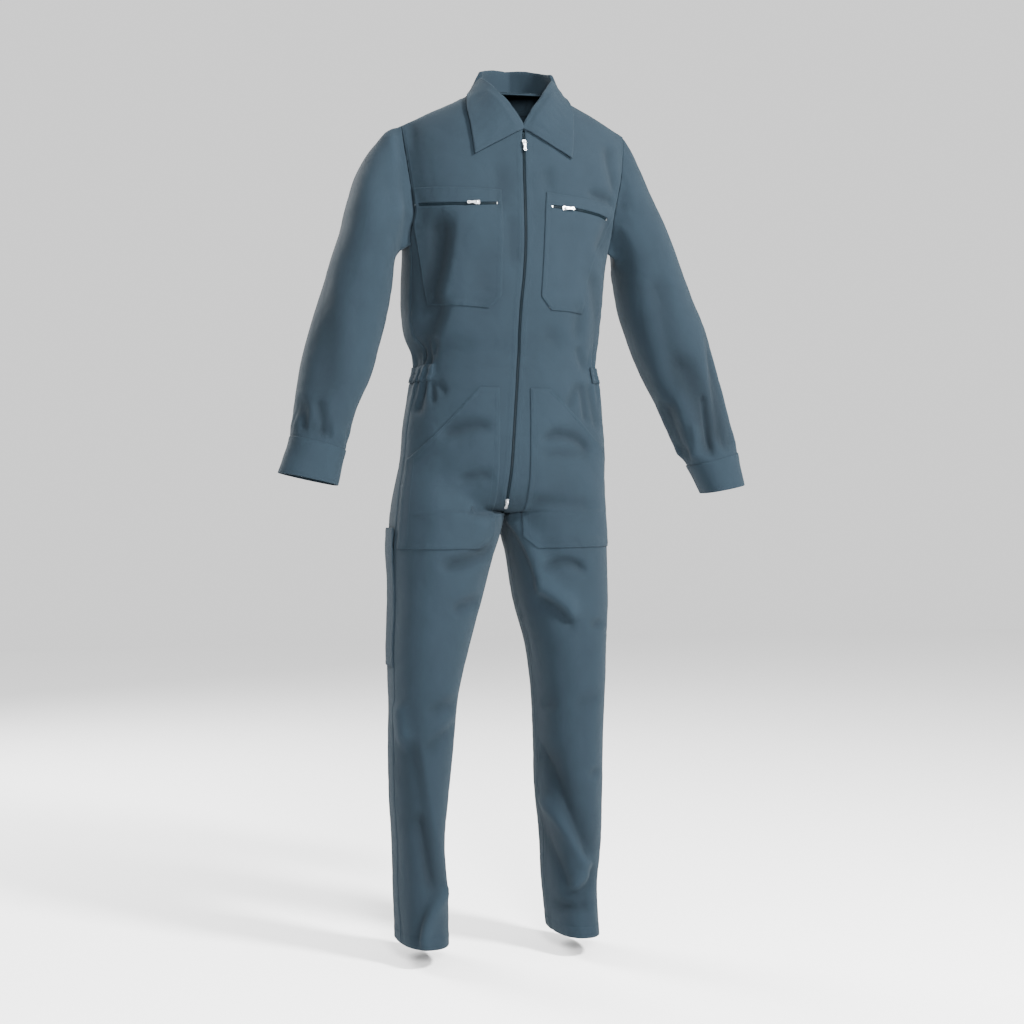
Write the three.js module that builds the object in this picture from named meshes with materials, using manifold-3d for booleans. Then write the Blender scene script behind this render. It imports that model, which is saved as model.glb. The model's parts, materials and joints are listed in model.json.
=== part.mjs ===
// A long-sleeved boiler suit with a turned-down collar, worn form with no wearer.
// Millimetres, +Z up, front towards -Y, wearer's right at -X.
// The origin is the middle of the neck, level with the tops of the shoulder seams.
import * as THREE from 'three';
import { mergeVertices } from 'three/addons/utils/BufferGeometryUtils.js';
import Module from 'manifold-3d';

const wasm = await Module();
wasm.setup();

// Cloth and seams
const CLOTH = 1.4; // wall of the shell
const PATCH = 1.2; // wall of a pocket or casing sewn on top
const GAP = 0.3; // clearance at every seam and under every patch
const RIGHT = -1;
const LEFT = 1;

// Heights of the cut
const ARMPIT = -285;
const WAIST_TOP = -493;
const WAIST_SEAM = -507;
const WAIST_BOTTOM = -521;
const CROTCH = -753;
const HEM = -1508;
const ZIP_BOTTOM = -739;

// Neck and shoulder
const NECK_HALF = 76;
const NECK_FRONT = -86;
const NECK_BACK = 12;
const SHOULDER_HALF = 205;
const SHOULDER_ARCH = 118; // height over which front and back round into the shoulder seam
const SHOULDER_SEAM_Y = -4;

// Body sections
const ROUNDNESS = 0.86; // 1 is an ellipse, less is squarer
const SIDE_SEAM = THREE.MathUtils.degToRad(76); // from centre front round to the side seam
const FORK_FRONT = -660; // where the front begins to turn under to the crotch
const FORK_BACK = -610;
const FORK_SIDE = -640;
const CHAIN_HALF = 2.6; // half the slot between the fronts, where the zip chain lies

// A table of sections: named columns, first one is the key, smooth between the rows.
function table(names, rows) {
  const columns = names.split(' ');
  const ordered = [...rows].sort((a, b) => a[0] - b[0]);
  const slope = (i, c) => {
    const before = ordered[Math.max(i - 1, 0)];
    const after = ordered[Math.min(i + 1, ordered.length - 1)];
    return (after[c] - before[c]) / (after[0] - before[0]);
  };
  return (key) => {
    const last = ordered.length - 1;
    const at = Math.min(Math.max(key, ordered[0][0]), ordered[last][0]);
    let i = 0;
    while (i < last - 1 && at > ordered[i + 1][0]) i += 1;
    const span = ordered[i + 1][0] - ordered[i][0];
    const s = (at - ordered[i][0]) / span;
    const found = {};
    columns.forEach((name, c) => {
      const a = ordered[i][c];
      const b = ordered[i + 1][c];
      const rise = b - a;
      const m0 = slope(i, c) * span;
      const m1 = slope(i + 1, c) * span;
      found[name] = a + s * (m0 + s * (3 * rise - 2 * m0 - m1 + s * (m0 + m1 - 2 * rise)));
    });
    return found;
  };
}

const SHOULDER = table('x z', [
  [0, 66], [40, 34], [76, 0], [120, -23], [160, -43], [205, -67], [245, -96],
]);

const TORSO = table('z half front back twist shift', [
  [60, 200, 60, 66, -6, 10],
  [0, 208, 72, 86, -6, 6],
  [-86, 212, 90, 108, -4, 0],
  [-150, 208, 107, 120, -4, -3],
  [-220, 198, 119, 126, -2, -8],
  [-285, 187, 124, 124, 0, -13],
  [-340, 185, 124, 117, 1, -18],
  [-390, 183, 121, 108, 0, -20],
  [-440, 177, 113, 97, -1, -19],
  [-471, 166, 106, 90, -3, -14],
  [-502, 162, 105, 92, -4, -14],
  [-530, 170, 107, 106, -5, -14],
  [-590, 180, 111, 122, -6, -17],
  [-666, 185, 111, 131, -8, -18],
  [-716, 188, 107, 131, -9, -21],
  [-753, 191, 103, 127, -9, -22],
]);

// Distances from the plane x = 0, wearer's right leg and left leg
const LEG_RIGHT = table('z inner outer front back', [
  [-640, 19, 208, 108, 130],
  [-753, 19, 218, 103, 127],
  [-790, 28, 221, 100, 119],
  [-824, 39, 223, 97, 113],
  [-911, 64, 222, 91, 104],
  [-997, 88, 224, 86, 97],
  [-1084, 106, 222, 82, 92],
  [-1170, 113, 223, 76, 92],
  [-1256, 122, 220, 69, 95],
  [-1343, 127, 213, 62, 97],
  [-1429, 120, 211, 62, 98],
  [-1508, 122, 208, 74, 96],
]);
const LEG_LEFT = table('z inner outer front back', [
  [-640, -19, 162, 108, 130],
  [-753, -19, 170, 103, 127],
  [-790, -13, 173, 100, 119],
  [-824, -4, 174, 97, 113],
  [-911, 11, 176, 91, 104],
  [-997, 34, 172, 86, 97],
  [-1084, 45, 169, 82, 92],
  [-1170, 50, 166, 76, 92],
  [-1256, 53, 168, 69, 95],
  [-1343, 64, 167, 62, 97],
  [-1429, 70, 158, 62, 98],
  [-1508, 78, 158, 74, 96],
]);
const LEGS = { [RIGHT]: LEG_RIGHT, [LEFT]: LEG_LEFT };

// Where the armhole cuts the front and the back, as distance from the centre line
const ARMHOLE = table('z front back', [
  [-61, 205, 205], [-100, 201, 202], [-150, 194, 196], [-200, 186, 190], [-245, 181, 186], [-285, 182, 182],
]);

// Sleeve sections: outer and inner edge seen from the front, half depth, and how far forward
const SLEEVE_COLUMNS = 'step outerX outerZ innerX innerZ depth y';
const SLEEVE_RIGHT = table(SLEEVE_COLUMNS, [
  [0, 206, -62, 199, -285, 62, -2],
  [1, 233, -76, 212, -292, 68, -3],
  [2, 262, -112, 217, -299, 72, -4],
  [3, 287, -162, 219, -307, 74, -5],
  [4, 304, -216, 221, -317, 75, -6],
  [5, 317, -270, 223, -333, 75, -7],
  [6, 341, -342, 229, -378, 73, -9],
  [7, 366, -416, 246, -450, 70, -14],
  [8, 386, -490, 266, -512, 66, -22],
  [9, 398, -556, 295, -576, 59, -32],
  [10, 408, -624, 315, -648, 44, -42],
]);
const SLEEVE_LEFT = table(SLEEVE_COLUMNS, [
  [0, 205, -62, 176, -285, 62, -2],
  [1, 222, -88, 189, -292, 68, -3],
  [2, 241, -128, 194, -299, 72, -4],
  [3, 263, -180, 196, -307, 74, -5],
  [4, 284, -230, 198, -318, 75, -6],
  [5, 302, -274, 200, -337, 75, -7],
  [6, 331, -344, 209, -392, 73, -9],
  [7, 361, -414, 231, -460, 70, -14],
  [8, 377, -468, 253, -514, 66, -20],
  [9, 390, -520, 276, -560, 61, -26],
  [10, 407, -594, 303, -626, 52, -36],
  [11, 417, -644, 330, -668, 44, -43],
]);
const SLEEVES = {
  [RIGHT]: {
    section: SLEEVE_RIGHT,
    steps: 10,
    cuff: { outerX: 430, outerZ: -683, innerX: 328, innerZ: -705, depth: 41, y: -50 },
  },
  [LEFT]: {
    section: SLEEVE_LEFT,
    steps: 11,
    cuff: { outerX: 428, outerZ: -700, innerX: 352, innerZ: -716, depth: 41, y: -50 },
  },
};

// Collar, from centre back (0) to the neck point at centre front (1). rise and lean are how far
// the roll line stands above and inside of the neck seam; edge is where the leaf's outer edge lies.
const COLLAR = table('share rise lean edgeX edgeZ', [
  [0, 43, 2, 0, 2],
  [0.12, 41, 3, 34, 0],
  [0.25, 34, 6, 66, -4],
  [0.4, 24, 11, 88, -7],
  [0.55, 17, 12, 96, -38],
  [0.7, 11, 9, 93, -80],
  [0.85, 6, 5, 90, -112],
  [1, 3, 2, 87, -137],
]);
const COLLAR_SIDE = 0.4; // share of the neckline from centre back to the shoulder seam
const COLLAR_SEAM = { inside: 1, above: 1.8 }; // from the neckline to the collar's seam edge
const ROLL = 5; // width of the roll at the top of the collar
const LEAF_CLEARANCE = 3.6; // how far the leaves stand off the shoulders
const LEAF_SHARES = [0.22, 0.45, 0.7, 1]; // rows of a leaf, from the roll to its edge
const LEAF_BOW = 8;
const LOOP = { left: -13, right: 55, top: 9, bottom: -18, tape: 10, cloth: 1, columns: 5 };

// Outlines of the patches as seen from the front, x and z of each corner
const CHEST_POCKETS = {
  [RIGHT]: {
    outline: [[-198, -187], [-52, -193], [-55, -377], [-75, -399], [-172, -392], [-180, -349], [-189, -280],
      [-196, -235]],
    slot: [[-193, -216], [-140, -220], [-58, -217]],
    slider: [-92, -218],
    pullSide: RIGHT,
  },
  [LEFT]: {
    outline: [[27, -194], [166, -205], [170, -214], [150, -262], [122, -305], [108, -350], [99, -401],
      [35, -399], [16, -376], [24, -224]],
    slot: [[34, -220], [85, -221], [123, -225], [158, -231]],
    slider: [64, -221],
    pullSide: LEFT,
  },
};
const HIP_POCKETS = {
  [RIGHT]: [[-54, -534], [-88, -534], [-206, -666], [-240, -666], [-240, -815], [-83, -814], [-56, -792]],
  [LEFT]: [[0, -535], [36, -535], [170, -662], [230, -662], [230, -811], [22, -814], [-3, -793]],
};
const RULE_POCKET = [[-240, -778], [-96, -778], [-100, -1010], [-110, -1022], [-240, -1022]];

// Zips
const CHAIN = 1.6; // thickness of a closed zip
const POCKET_SLOT = 5.2;
const POCKET_CHAIN = 4.4;
const CHEST_SLIDER_LIFT = 1.8; // from the cloth to the underside of a chest slider
const SLIDER = { width: 7.2, length: 10, depth: 2.4 };
const BAIL = { width: 2, outer: 2.1, hole: 1.25 };
const PULL = { width: 5.2, length: 17, depth: 1.1, window: 2.9, bar: 0.55, reach: 2.9 };

// Folds seen from the front. x and z are where a fold starts and ends in the plane turned to
// VIEW_TURN, bow is how far its middle swings to the left, left and right are its widths to either
// side of its line, and rise is its height, below zero for a trough.
const VIEW_TURN = THREE.MathUtils.degToRad(14);
const FOLD_COLUMNS = 'x0 z0 x1 z1 bow left right rise'.split(' ');
const FRONT_FOLDS = [
  // chest, falling away from the pocket edge to the waist
  [-128, -235, -112, -430, -12, 26, 14, -9],
  [-176, -300, -152, -490, 0, 12, 16, -6],
  [-152, -410, -142, -492, 0, 9, 9, -6],
  [-122, -410, -128, -492, 0, 9, 10, -5],
  [140, -330, 150, -490, 8, 14, 12, -6],
  [168, -200, 208, -215, 0, 14, 12, -8],
  // hips, out of the gathers and across the pockets
  [-144, -522, -162, -610, 0, 8, 9, -6],
  [-128, -522, -114, -584, 4, 8, 9, -5],
  [142, -522, 122, -600, 0, 9, 10, -5],
  [-140, -590, -40, -585, -10, 18, 22, -7],
  [-110, -690, -20, -660, 6, 18, 20, -5],
  [40, -600, 150, -610, 0, 20, 22, -7],
  [30, -700, 160, -690, 0, 18, 20, -5],
  // thighs
  [-110, -870, -20, -800, 10, 20, 26, -9],
  [-10, -745, 60, -860, -8, 10, 16, 10],
  [40, -850, 80, -905, -18, 22, 14, 10],
  [30, -930, 118, -925, -26, 16, 26, -9],
  [-70, -960, -120, -905, 0, 18, 20, -6],
  // knees and shins
  [-186, -1100, -150, -1400, 12, 26, 20, 8],
  [-150, -1130, -122, -1395, 12, 16, 20, -11],
  [-120, -1395, -140, -1490, 8, 14, 16, 8],
  [60, -1130, 132, -1340, 14, 24, 18, -11],
  [70, -1190, 110, -1400, 10, 22, 24, 9],
  [80, -1400, 150, -1360, -14, 14, 14, -9],
  [74, -1440, 152, -1452, 0, 12, 14, -9],
  // sleeves
  [-190, -70, -180, -250, -8, 12, 18, -7],
  [-215, -80, -196, -240, 10, 16, 18, 6],
  [-350, -330, -330, -560, 14, 26, 26, -6],
  [-372, -560, -346, -640, 0, 14, 14, -6],
  [372, -420, 392, -640, -4, 14, 20, -10],
  [300, -470, 360, -640, 10, 24, 26, -10],
  [262, -330, 300, -540, 0, 20, 26, -5],
].map((row) => Object.fromEntries(FOLD_COLUMNS.map((name, i) => [name, row[i]])));

// Folds seen from behind, where x is as the front's x and y is behind
const BACK_FOLDS = [
  [-150, -150, -110, -330, 10, 22, 22, -6],
  [150, -150, 110, -330, -10, 22, 22, -6],
  [-60, -395, -66, -490, 0, 16, 16, 5],
  [60, -395, 66, -490, 0, 16, 16, 5],
  [-20, -760, -120, -830, 10, 22, 22, -9],
  [10, -760, 110, -830, -10, 22, 22, -9],
  [-90, -1060, -190, -1085, 8, 20, 20, -8],
  [60, -1060, 160, -1085, 8, 20, 20, -8],
  [-120, -1150, -150, -1420, 10, 24, 24, -8],
  [95, -1150, 130, -1420, -10, 24, 24, -8],
  [-300, -180, -360, -470, 12, 26, 26, -6],
  [300, -180, 360, -470, -12, 26, 26, -6],
  [-352, -470, -290, -520, 0, 18, 20, -6],
  [352, -470, 290, -520, 0, 18, 20, -6],
].map((row) => Object.fromEntries(FOLD_COLUMNS.map((name, i) => [name, row[i]])));

const clamp01 = (v) => Math.min(Math.max(v, 0), 1);
const smooth = (v) => clamp01(v) ** 2 * (3 - 2 * clamp01(v));
const mix = (a, b, w) => a + (b - a) * w;
const signedPower = (v) => Math.sign(v) * Math.abs(v) ** ROUNDNESS;
const vec = (x, y, z) => new THREE.Vector3(x, y, z);

// Height of one fold at a point of its plane.
function foldHeight(fold, x, z) {
  const dx = fold.x1 - fold.x0;
  const dz = fold.z1 - fold.z0;
  const length = Math.hypot(dx, dz);
  const along = ((x - fold.x0) * dx + (z - fold.z0) * dz) / length ** 2;
  const arc = 4 * clamp01(along) * (1 - clamp01(along));
  const off = ((x - fold.x0) * dz - (z - fold.z0) * dx) / length + fold.bow * arc;
  const width = off < 0 ? fold.right : fold.left;
  const run = Math.min(along, 1 - along) * length;
  const ends = smooth((run + width) / (2.2 * width));
  return fold.rise * ends * Math.exp(-((off / width) ** 2));
}

// How far all folds move a point of the smooth form out along its normal.
function foldsAt(point, normal) {
  const c = Math.cos(VIEW_TURN);
  const s = Math.sin(VIEW_TURN);
  const facing = -(normal.x * s + normal.y * c);
  let rise = 0;
  if (facing > 0) {
    const weight = smooth(facing * 2.2);
    const across = point.x * c - point.y * s;
    FRONT_FOLDS.forEach((fold) => {
      rise += weight * foldHeight(fold, across, point.z);
    });
  }
  if (normal.y > 0) {
    const weight = smooth(normal.y * 2.2);
    BACK_FOLDS.forEach((fold) => {
      rise += weight * foldHeight(fold, point.x, point.z);
    });
  }
  return rise;
}

function turned(x, y, z, twist, shift) {
  const a = THREE.MathUtils.degToRad(twist);
  return vec(shift + x * Math.cos(a) - y * Math.sin(a), x * Math.sin(a) + y * Math.cos(a), z);
}

// How far back the torso's surface lies, before it is turned, at x from the centre line.
function torsoDepth(section, x, angle, z) {
  const ahead = Math.cos(angle);
  const y = -(ahead > 0 ? section.front : section.back) * signedPower(ahead);
  const below = (SHOULDER(x).z - z) / SHOULDER_ARCH;
  return below < 1 ? mix(SHOULDER_SEAM_Y, y, Math.sqrt(1 - (1 - clamp01(below)) ** 2)) : y;
}

// A point of the torso. angle runs from 0 at centre front to PI at centre back.
function torsoPoint(side, angle, z) {
  const s = TORSO(z);
  const x = s.half * signedPower(Math.sin(angle));
  return turned(side * x, torsoDepth(s, x, angle, z), z, s.twist, s.shift);
}

// A point of a leg. angle runs from 0 inside, over the front, to PI outside and back.
function legPoint(side, angle, z) {
  const s = LEGS[side](z);
  const x = (s.outer + s.inner) / 2 - ((s.outer - s.inner) / 2) * signedPower(Math.cos(angle));
  const ahead = Math.sin(angle);
  const middle = (s.back - s.front) / 2 + 2;
  const reach = ahead > 0 ? s.front + middle : s.back - middle;
  return vec(side * x, middle - reach * signedPower(ahead), z);
}

// A point of the shell below the armpit. t is 0 at the centre or inseam and 1 at the side seam.
function bodyPoint(side, isFront, t, z) {
  const legSeam = Math.PI / 2 + SIDE_SEAM;
  const torsoAngle = isFront ? t * SIDE_SEAM : Math.PI - t * (Math.PI - SIDE_SEAM);
  const legAngle = isFront ? t * legSeam : 2 * Math.PI - t * (2 * Math.PI - legSeam);
  const start = mix(isFront ? FORK_FRONT : FORK_BACK, FORK_SIDE, smooth(t));
  const s = clamp01((start - z) / (start - CROTCH));
  const sharp = 1 - (1 - s ** 3) ** (1 / 3);
  const w = mix(sharp, smooth(s), smooth(t));
  if (w === 0) return torsoPoint(side, torsoAngle, z);
  if (w === 1) return legPoint(side, legAngle, z);
  return torsoPoint(side, torsoAngle, z).lerp(legPoint(side, legAngle, z), w);
}

// The angle round the torso at a distance from the centre line.
function angleAt(x, z) {
  return Math.asin(clamp01(x / TORSO(z).half) ** (1 / ROUNDNESS));
}

// Parts of the inner edge of the yoke that are neckline
const FRONT_NECK_SHARE = 0.42;
const BACK_NECK_SHARE = 0.2;
const SIDE_JOIN = 0.72; // share of the armhole's height below which it curves to the side seam

// A point of the shell above the armpit, v is 0 at the shoulder seam and 1 at armpit level.
function yokePoint(side, isFront, t, v) {
  const neckZ = isFront ? NECK_FRONT : NECK_BACK;
  const turn = Math.PI / 2;
  const flat = (angle, z) => ({ angle, z });
  const sideAngle = isFront ? SIDE_SEAM : Math.PI - SIDE_SEAM;
  const inner = (w) => {
    const share = isFront ? FRONT_NECK_SHARE : BACK_NECK_SHARE;
    if (w < share) {
      const a = (w / share) * turn;
      const z = neckZ * (isFront ? 1 - Math.cos(a) ** 1.25 : Math.sin(a));
      const x = NECK_HALF * (isFront ? 1 - Math.sin(a) ** 2.2 : Math.cos(a));
      return flat(angleAt(x, z), z);
    }
    return flat(0, mix(neckZ, ARMPIT, (w - share) / (1 - share)));
  };
  const outer = (w) => {
    const z = mix(SHOULDER(SHOULDER_HALF).z, ARMPIT, w);
    const cut = ARMHOLE(z);
    const edge = isFront ? cut.front : cut.back;
    const join = smooth((w - SIDE_JOIN) / (1 - SIDE_JOIN));
    return flat(mix(angleAt(edge, z), sideAngle, join), z);
  };
  const top = (w) => {
    const x = mix(NECK_HALF, SHOULDER_HALF, w);
    return flat(angleAt(x, SHOULDER(x).z), SHOULDER(x).z);
  };
  const blend = (key) => {
    const bottom = key === 'z' ? ARMPIT : t * sideAngle;
    const corners = (1 - v) * mix(top(0)[key], top(1)[key], t) + v * mix(inner(1)[key], outer(1)[key], t);
    return mix(top(t)[key], bottom, v) + mix(inner(v)[key], outer(v)[key], t) - corners;
  };
  const angle = blend('angle');
  return torsoPoint(side, isFront ? angle : Math.PI - angle, blend('z'));
}

// Rows: shares of the yoke, then heights down to the hem
const YOKE_ROWS = [0, 0.1, 0.2, 0.31, 0.42, 0.56, 0.7, 0.85];
const BODY_ROWS = [ARMPIT, -325, -365, -402, -432, -458, -477, WAIST_TOP, WAIST_SEAM, WAIST_BOTTOM,
  -538, -564, -598, -634, -668, -698, -720, ZIP_BOTTOM, CROTCH, -774, -804, -838, -878, -922,
  -970, -1020, -1072, -1126, -1180, -1232, -1280, -1326, -1368, -1408, -1444, -1478, HEM];
const FRONT_COLUMNS = [0, 0.12, 0.24, 0.36, 0.48, 0.59, 0.69, 0.78, 0.86, 0.93, 1];
const BACK_COLUMNS = [0, 0.12, 0.24, 0.36, 0.48, 0.6, 0.7, 0.8, 0.9, 1];
const WAVES = { reach: 62, height: 3.4, trough: 0.4 };
const CASING_LIFT = 0.9; // the elastic holds the casing a little off the gathers
const CASING_START = 0.78; // share of each front's width where the casing begins

// Gathers of the elastic waist: alternate columns stand out and in, less and less away from it.
// The fronts are gathered from share 0.7 of their width outwards.
function gather(isFront, column, z) {
  const edge = isFront ? smooth((FRONT_COLUMNS[column] - 0.7) / 0.12) : 1;
  const away = Math.max(z - WAIST_TOP, WAIST_BOTTOM - z, 0) / WAVES.reach;
  const swell = smooth(1 - away);
  return edge * swell * WAVES.height * (column % 2 ? 1 : -WAVES.trough);
}

// The smooth grid of one front or back, as rows of points.
function formGrid(side, isFront) {
  const columns = isFront ? FRONT_COLUMNS : BACK_COLUMNS;
  const yoke = YOKE_ROWS.map((v) => columns.map((t) => yokePoint(side, isFront, t, v)));
  const body = BODY_ROWS.map((z) => columns.map((t) => bodyPoint(side, isFront, t, z)));
  return [...yoke, ...body];
}

const rowOf = (z) => YOKE_ROWS.length + BODY_ROWS.indexOf(z);

// The mean of the normals of the four cells round a point, from its four neighbours.
function meanNormal(point, right, down, left, up) {
  const arms = [right, down, left, up].map((other) => other && other.clone().sub(point));
  const sum = vec(0, 0, 0);
  arms.forEach((arm, k) => {
    const nextArm = arms[(k + 1) % 4];
    if (arm && nextArm) sum.add(arm.clone().cross(nextArm).normalize());
  });
  return sum.normalize();
}

// Normals of a grid; beyond() gives the neighbour of an edge point on the next piece, if any.
function normalsOf(grid, outward, beyond) {
  return grid.map((row, j) => row.map((point, i) => {
    const next = (dj, di) => (grid[j + dj] && grid[j + dj][i + di]) || (beyond && beyond(j, i, dj, di));
    return meanNormal(point, next(0, 1), next(1, 0), next(0, -1), next(-1, 0)).multiplyScalar(outward);
  }));
}

// The four body grids with folds and gathers, and the normals that their walls use.
function bodyShell() {
  const shells = {};
  [RIGHT, LEFT].forEach((side) => [true, false].forEach((isFront) => {
    shells[`${side}${isFront}`] = { side, isFront, points: formGrid(side, isFront) };
  }));
  const neighbours = (shell) => (j, i, dj, di) => {
    const crotchRow = rowOf(CROTCH);
    const partner = shells[`${shell.side}${!shell.isFront}`].points;
    const mirror = shells[`${-shell.side}${shell.isFront}`].points;
    const columns = shell.isFront ? FRONT_COLUMNS : BACK_COLUMNS;
    if (dj === -1 && j === 0) return yokePoint(shell.side, !shell.isFront, columns[i], YOKE_ROWS[1]);
    if (di === 1 && j >= YOKE_ROWS.length) return partner[j][partner[0].length - 2];
    if (di === -1) return j < crotchRow ? mirror[j][1] : partner[j][1];
    return null;
  };
  const facing = (shell) => shell.side * (shell.isFront ? -1 : 1);
  const setNormals = (shell) => {
    shell.normals = normalsOf(shell.points, facing(shell), neighbours(shell));
    shell.normals[rowOf(CROTCH)][0] = vec(0, 0, -1);
  };
  Object.values(shells).forEach(setNormals);
  Object.values(shells).forEach((shell) => {
    shell.raised = shell.points.map((row, j) => row.map((point, i) => {
      const normal = shell.normals[j][i];
      const isEdge = i === shell.points[0].length - 1;
      const z = j < YOKE_ROWS.length ? 0 : BODY_ROWS[j - YOKE_ROWS.length];
      const wave = isEdge ? 0 : gather(shell.isFront, i, z);
      return point.clone().addScaledVector(normal, foldsAt(point, normal) + wave);
    }));
  });
  Object.values(shells).forEach((shell) => {
    shell.points = shell.raised;
  });
  Object.values(shells).forEach(setNormals);
  return shells;
}

// Moves the centre edge of part of a shell away from the centre line, down to the crotch.
function parted(points, side, topRow, gapAt) {
  return points.map((row, j) => row.map((point, i) => {
    const away = i === 0 && topRow + j <= rowOf(CROTCH) ? gapAt(topRow + j) : 0;
    return vec(point.x + side * away, point.y, point.z);
  }));
}

// Pulls the border of a grid in by a distance, so that neighbours stay apart.
function trimmed(grid, trims) {
  const rows = grid.length - 1;
  const columns = grid[0].length - 1;
  const pull = (point, towards, by) => {
    const reach = towards.clone().sub(point);
    return point.clone().addScaledVector(reach.normalize(), by);
  };
  const out = grid.map((row) => row.map((point) => point.clone()));
  const amount = (trim, k) => (typeof trim === 'function' ? trim(k) : trim || 0);
  for (let j = 0; j <= rows; j += 1) {
    out[j][0] = pull(out[j][0], grid[j][1], amount(trims.first, j));
    out[j][columns] = pull(out[j][columns], grid[j][columns - 1], amount(trims.last, j));
  }
  for (let i = 0; i <= columns; i += 1) {
    out[0][i] = pull(out[0][i], grid[1][i], amount(trims.top, i));
    out[rows][i] = pull(out[rows][i], grid[rows - 1][i], amount(trims.bottom, i));
  }
  return out;
}

// A closed wall between two offsets of a grid. A closed grid joins its last column to its first.
function wallGeometry(points, normals, from, to, { closed = false, flip = false } = {}) {
  const rows = points.length;
  const columns = points[0].length;
  const positions = [];
  const offset = (value, j, i) => (typeof value === 'function' ? value(j, i) : value);
  [to, from].forEach((value) => points.forEach((row, j) => row.forEach((point, i) => {
    const moved = point.clone().addScaledVector(normals[j][i], offset(value, j, i));
    positions.push(moved.x, moved.y, moved.z);
  })));
  const at = (layer, j, i) => layer * rows * columns + j * columns + (i % columns);
  const faces = [];
  const quad = (a, b, c, d) => faces.push(a, b, c, a, c, d);
  const cells = closed ? columns : columns - 1;
  for (let j = 0; j < rows - 1; j += 1) {
    for (let i = 0; i < cells; i += 1) {
      quad(at(0, j, i), at(0, j + 1, i), at(0, j + 1, i + 1), at(0, j, i + 1));
      quad(at(1, j, i), at(1, j, i + 1), at(1, j + 1, i + 1), at(1, j + 1, i));
    }
  }
  for (let i = 0; i < cells; i += 1) {
    quad(at(0, 0, i), at(0, 0, i + 1), at(1, 0, i + 1), at(1, 0, i));
    quad(at(1, rows - 1, i), at(1, rows - 1, i + 1), at(0, rows - 1, i + 1), at(0, rows - 1, i));
  }
  if (!closed) {
    const end = columns - 1;
    for (let j = 0; j < rows - 1; j += 1) {
      quad(at(0, j, 0), at(1, j, 0), at(1, j + 1, 0), at(0, j + 1, 0));
      quad(at(1, j, end), at(0, j, end), at(0, j + 1, end), at(1, j + 1, end));
    }
  }
  if (flip) {
    for (let k = 0; k < faces.length; k += 3) [faces[k + 1], faces[k + 2]] = [faces[k + 2], faces[k + 1]];
  }
  const geometry = new THREE.BufferGeometry();
  geometry.setAttribute('position', new THREE.Float32BufferAttribute(positions, 3));
  geometry.setIndex(faces);
  return geometry;
}

const cloth = new THREE.MeshStandardMaterial({ color: 0x4a5f6d, roughness: 0.9, metalness: 0 });
const patchCloth = new THREE.MeshStandardMaterial({ color: 0x50656f, roughness: 0.9, metalness: 0 });
const chainBlue = new THREE.MeshStandardMaterial({ color: 0x3a4f5d, roughness: 0.5, metalness: 0 });
const nickel = new THREE.MeshStandardMaterial({ color: 0xc6ccd0, roughness: 0.3, metalness: 1 });

const suit = new THREE.Group();

function add(name, geometry, material) {
  const mesh = new THREE.Mesh(geometry, material);
  mesh.name = name;
  suit.add(mesh);
  return mesh;
}

function toSolid(geometry) {
  const bare = geometry.clone();
  bare.deleteAttribute('normal');
  bare.deleteAttribute('uv');
  const merged = mergeVertices(bare, 1e-4);
  return new wasm.Manifold(new wasm.Mesh({
    numProp: 3,
    vertProperties: new Float32Array(merged.attributes.position.array),
    triVerts: new Uint32Array(merged.index.array),
  }));
}

function fromSolid(solid) {
  const mesh = solid.getMesh();
  const geometry = new THREE.BufferGeometry();
  geometry.setAttribute('position', new THREE.BufferAttribute(new Float32Array(mesh.vertProperties), 3));
  geometry.setIndex(new THREE.BufferAttribute(new Uint32Array(mesh.triVerts), 1));
  return geometry;
}

const sideName = (side) => (side === RIGHT ? 'right' : 'left');
const slice = (grid, top, bottom, first, last) => (
  grid.slice(top, bottom + 1).map((row) => row.slice(first, last + 1)));

const shells = bodyShell();
const shellOf = (side, isFront) => shells[`${side}${isFront}`];
const flips = (shell) => (shell.side === RIGHT) === shell.isFront;

// The wall of part of a shell, on it or laid on top of it.
function shellWall(shell, range, from, to, trims = {}) {
  const [top, bottom, first, last] = range;
  const cut = slice(shell.points, top, bottom, first, last);
  const open = trims.centre ? parted(cut, shell.side, top, trims.centre) : cut;
  const points = trimmed(open, trims);
  const normals = slice(shell.normals, top, bottom, first, last);
  return wallGeometry(points, normals, from, to, { flip: flips(shell) });
}

const LAST_ROW = YOKE_ROWS.length + BODY_ROWS.length - 1;
const FRONT_LAST = FRONT_COLUMNS.length - 1;
const BACK_LAST = BACK_COLUMNS.length - 1;
const half = GAP / 2;
const FORK_ROW = -698;
const FORK_TRIM = 0.6; // the back seam turns under here, where the walls need more room
const SHOULDER_TRIM = 0.4; // the crest of the shoulder needs more room for the walls to meet
const inseam = (row) => (row >= rowOf(CROTCH) ? half : 0);

// Fronts, each cut in one piece from shoulder to hem
const slot = (row) => {
  const z = row < YOKE_ROWS.length ? 0 : BODY_ROWS[row - YOKE_ROWS.length];
  return z >= ZIP_BOTTOM ? CHAIN_HALF : half;
};
[RIGHT, LEFT].forEach((side) => {
  const geometry = shellWall(shellOf(side, true), [0, LAST_ROW, 0, FRONT_LAST], -CLOTH, 0, {
    centre: slot, first: inseam, last: half, top: SHOULDER_TRIM,
  });
  add(`front_${sideName(side)}`, geometry, cloth);
});

// Back bodice, one piece across both sides
{
  const seamRow = rowOf(WAIST_SEAM);
  const join = (key) => {
    const right = shellOf(RIGHT, false)[key];
    const left = shellOf(LEFT, false)[key];
    return right.slice(0, seamRow + 1).map((row, j) => [...[...row].reverse(), ...left[j].slice(1)]);
  };
  const points = trimmed(join('points'), { first: half, last: half, top: SHOULDER_TRIM, bottom: half });
  add('back_bodice', wallGeometry(points, join('normals'), -CLOTH, 0, { flip: true }), cloth);
}

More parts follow.
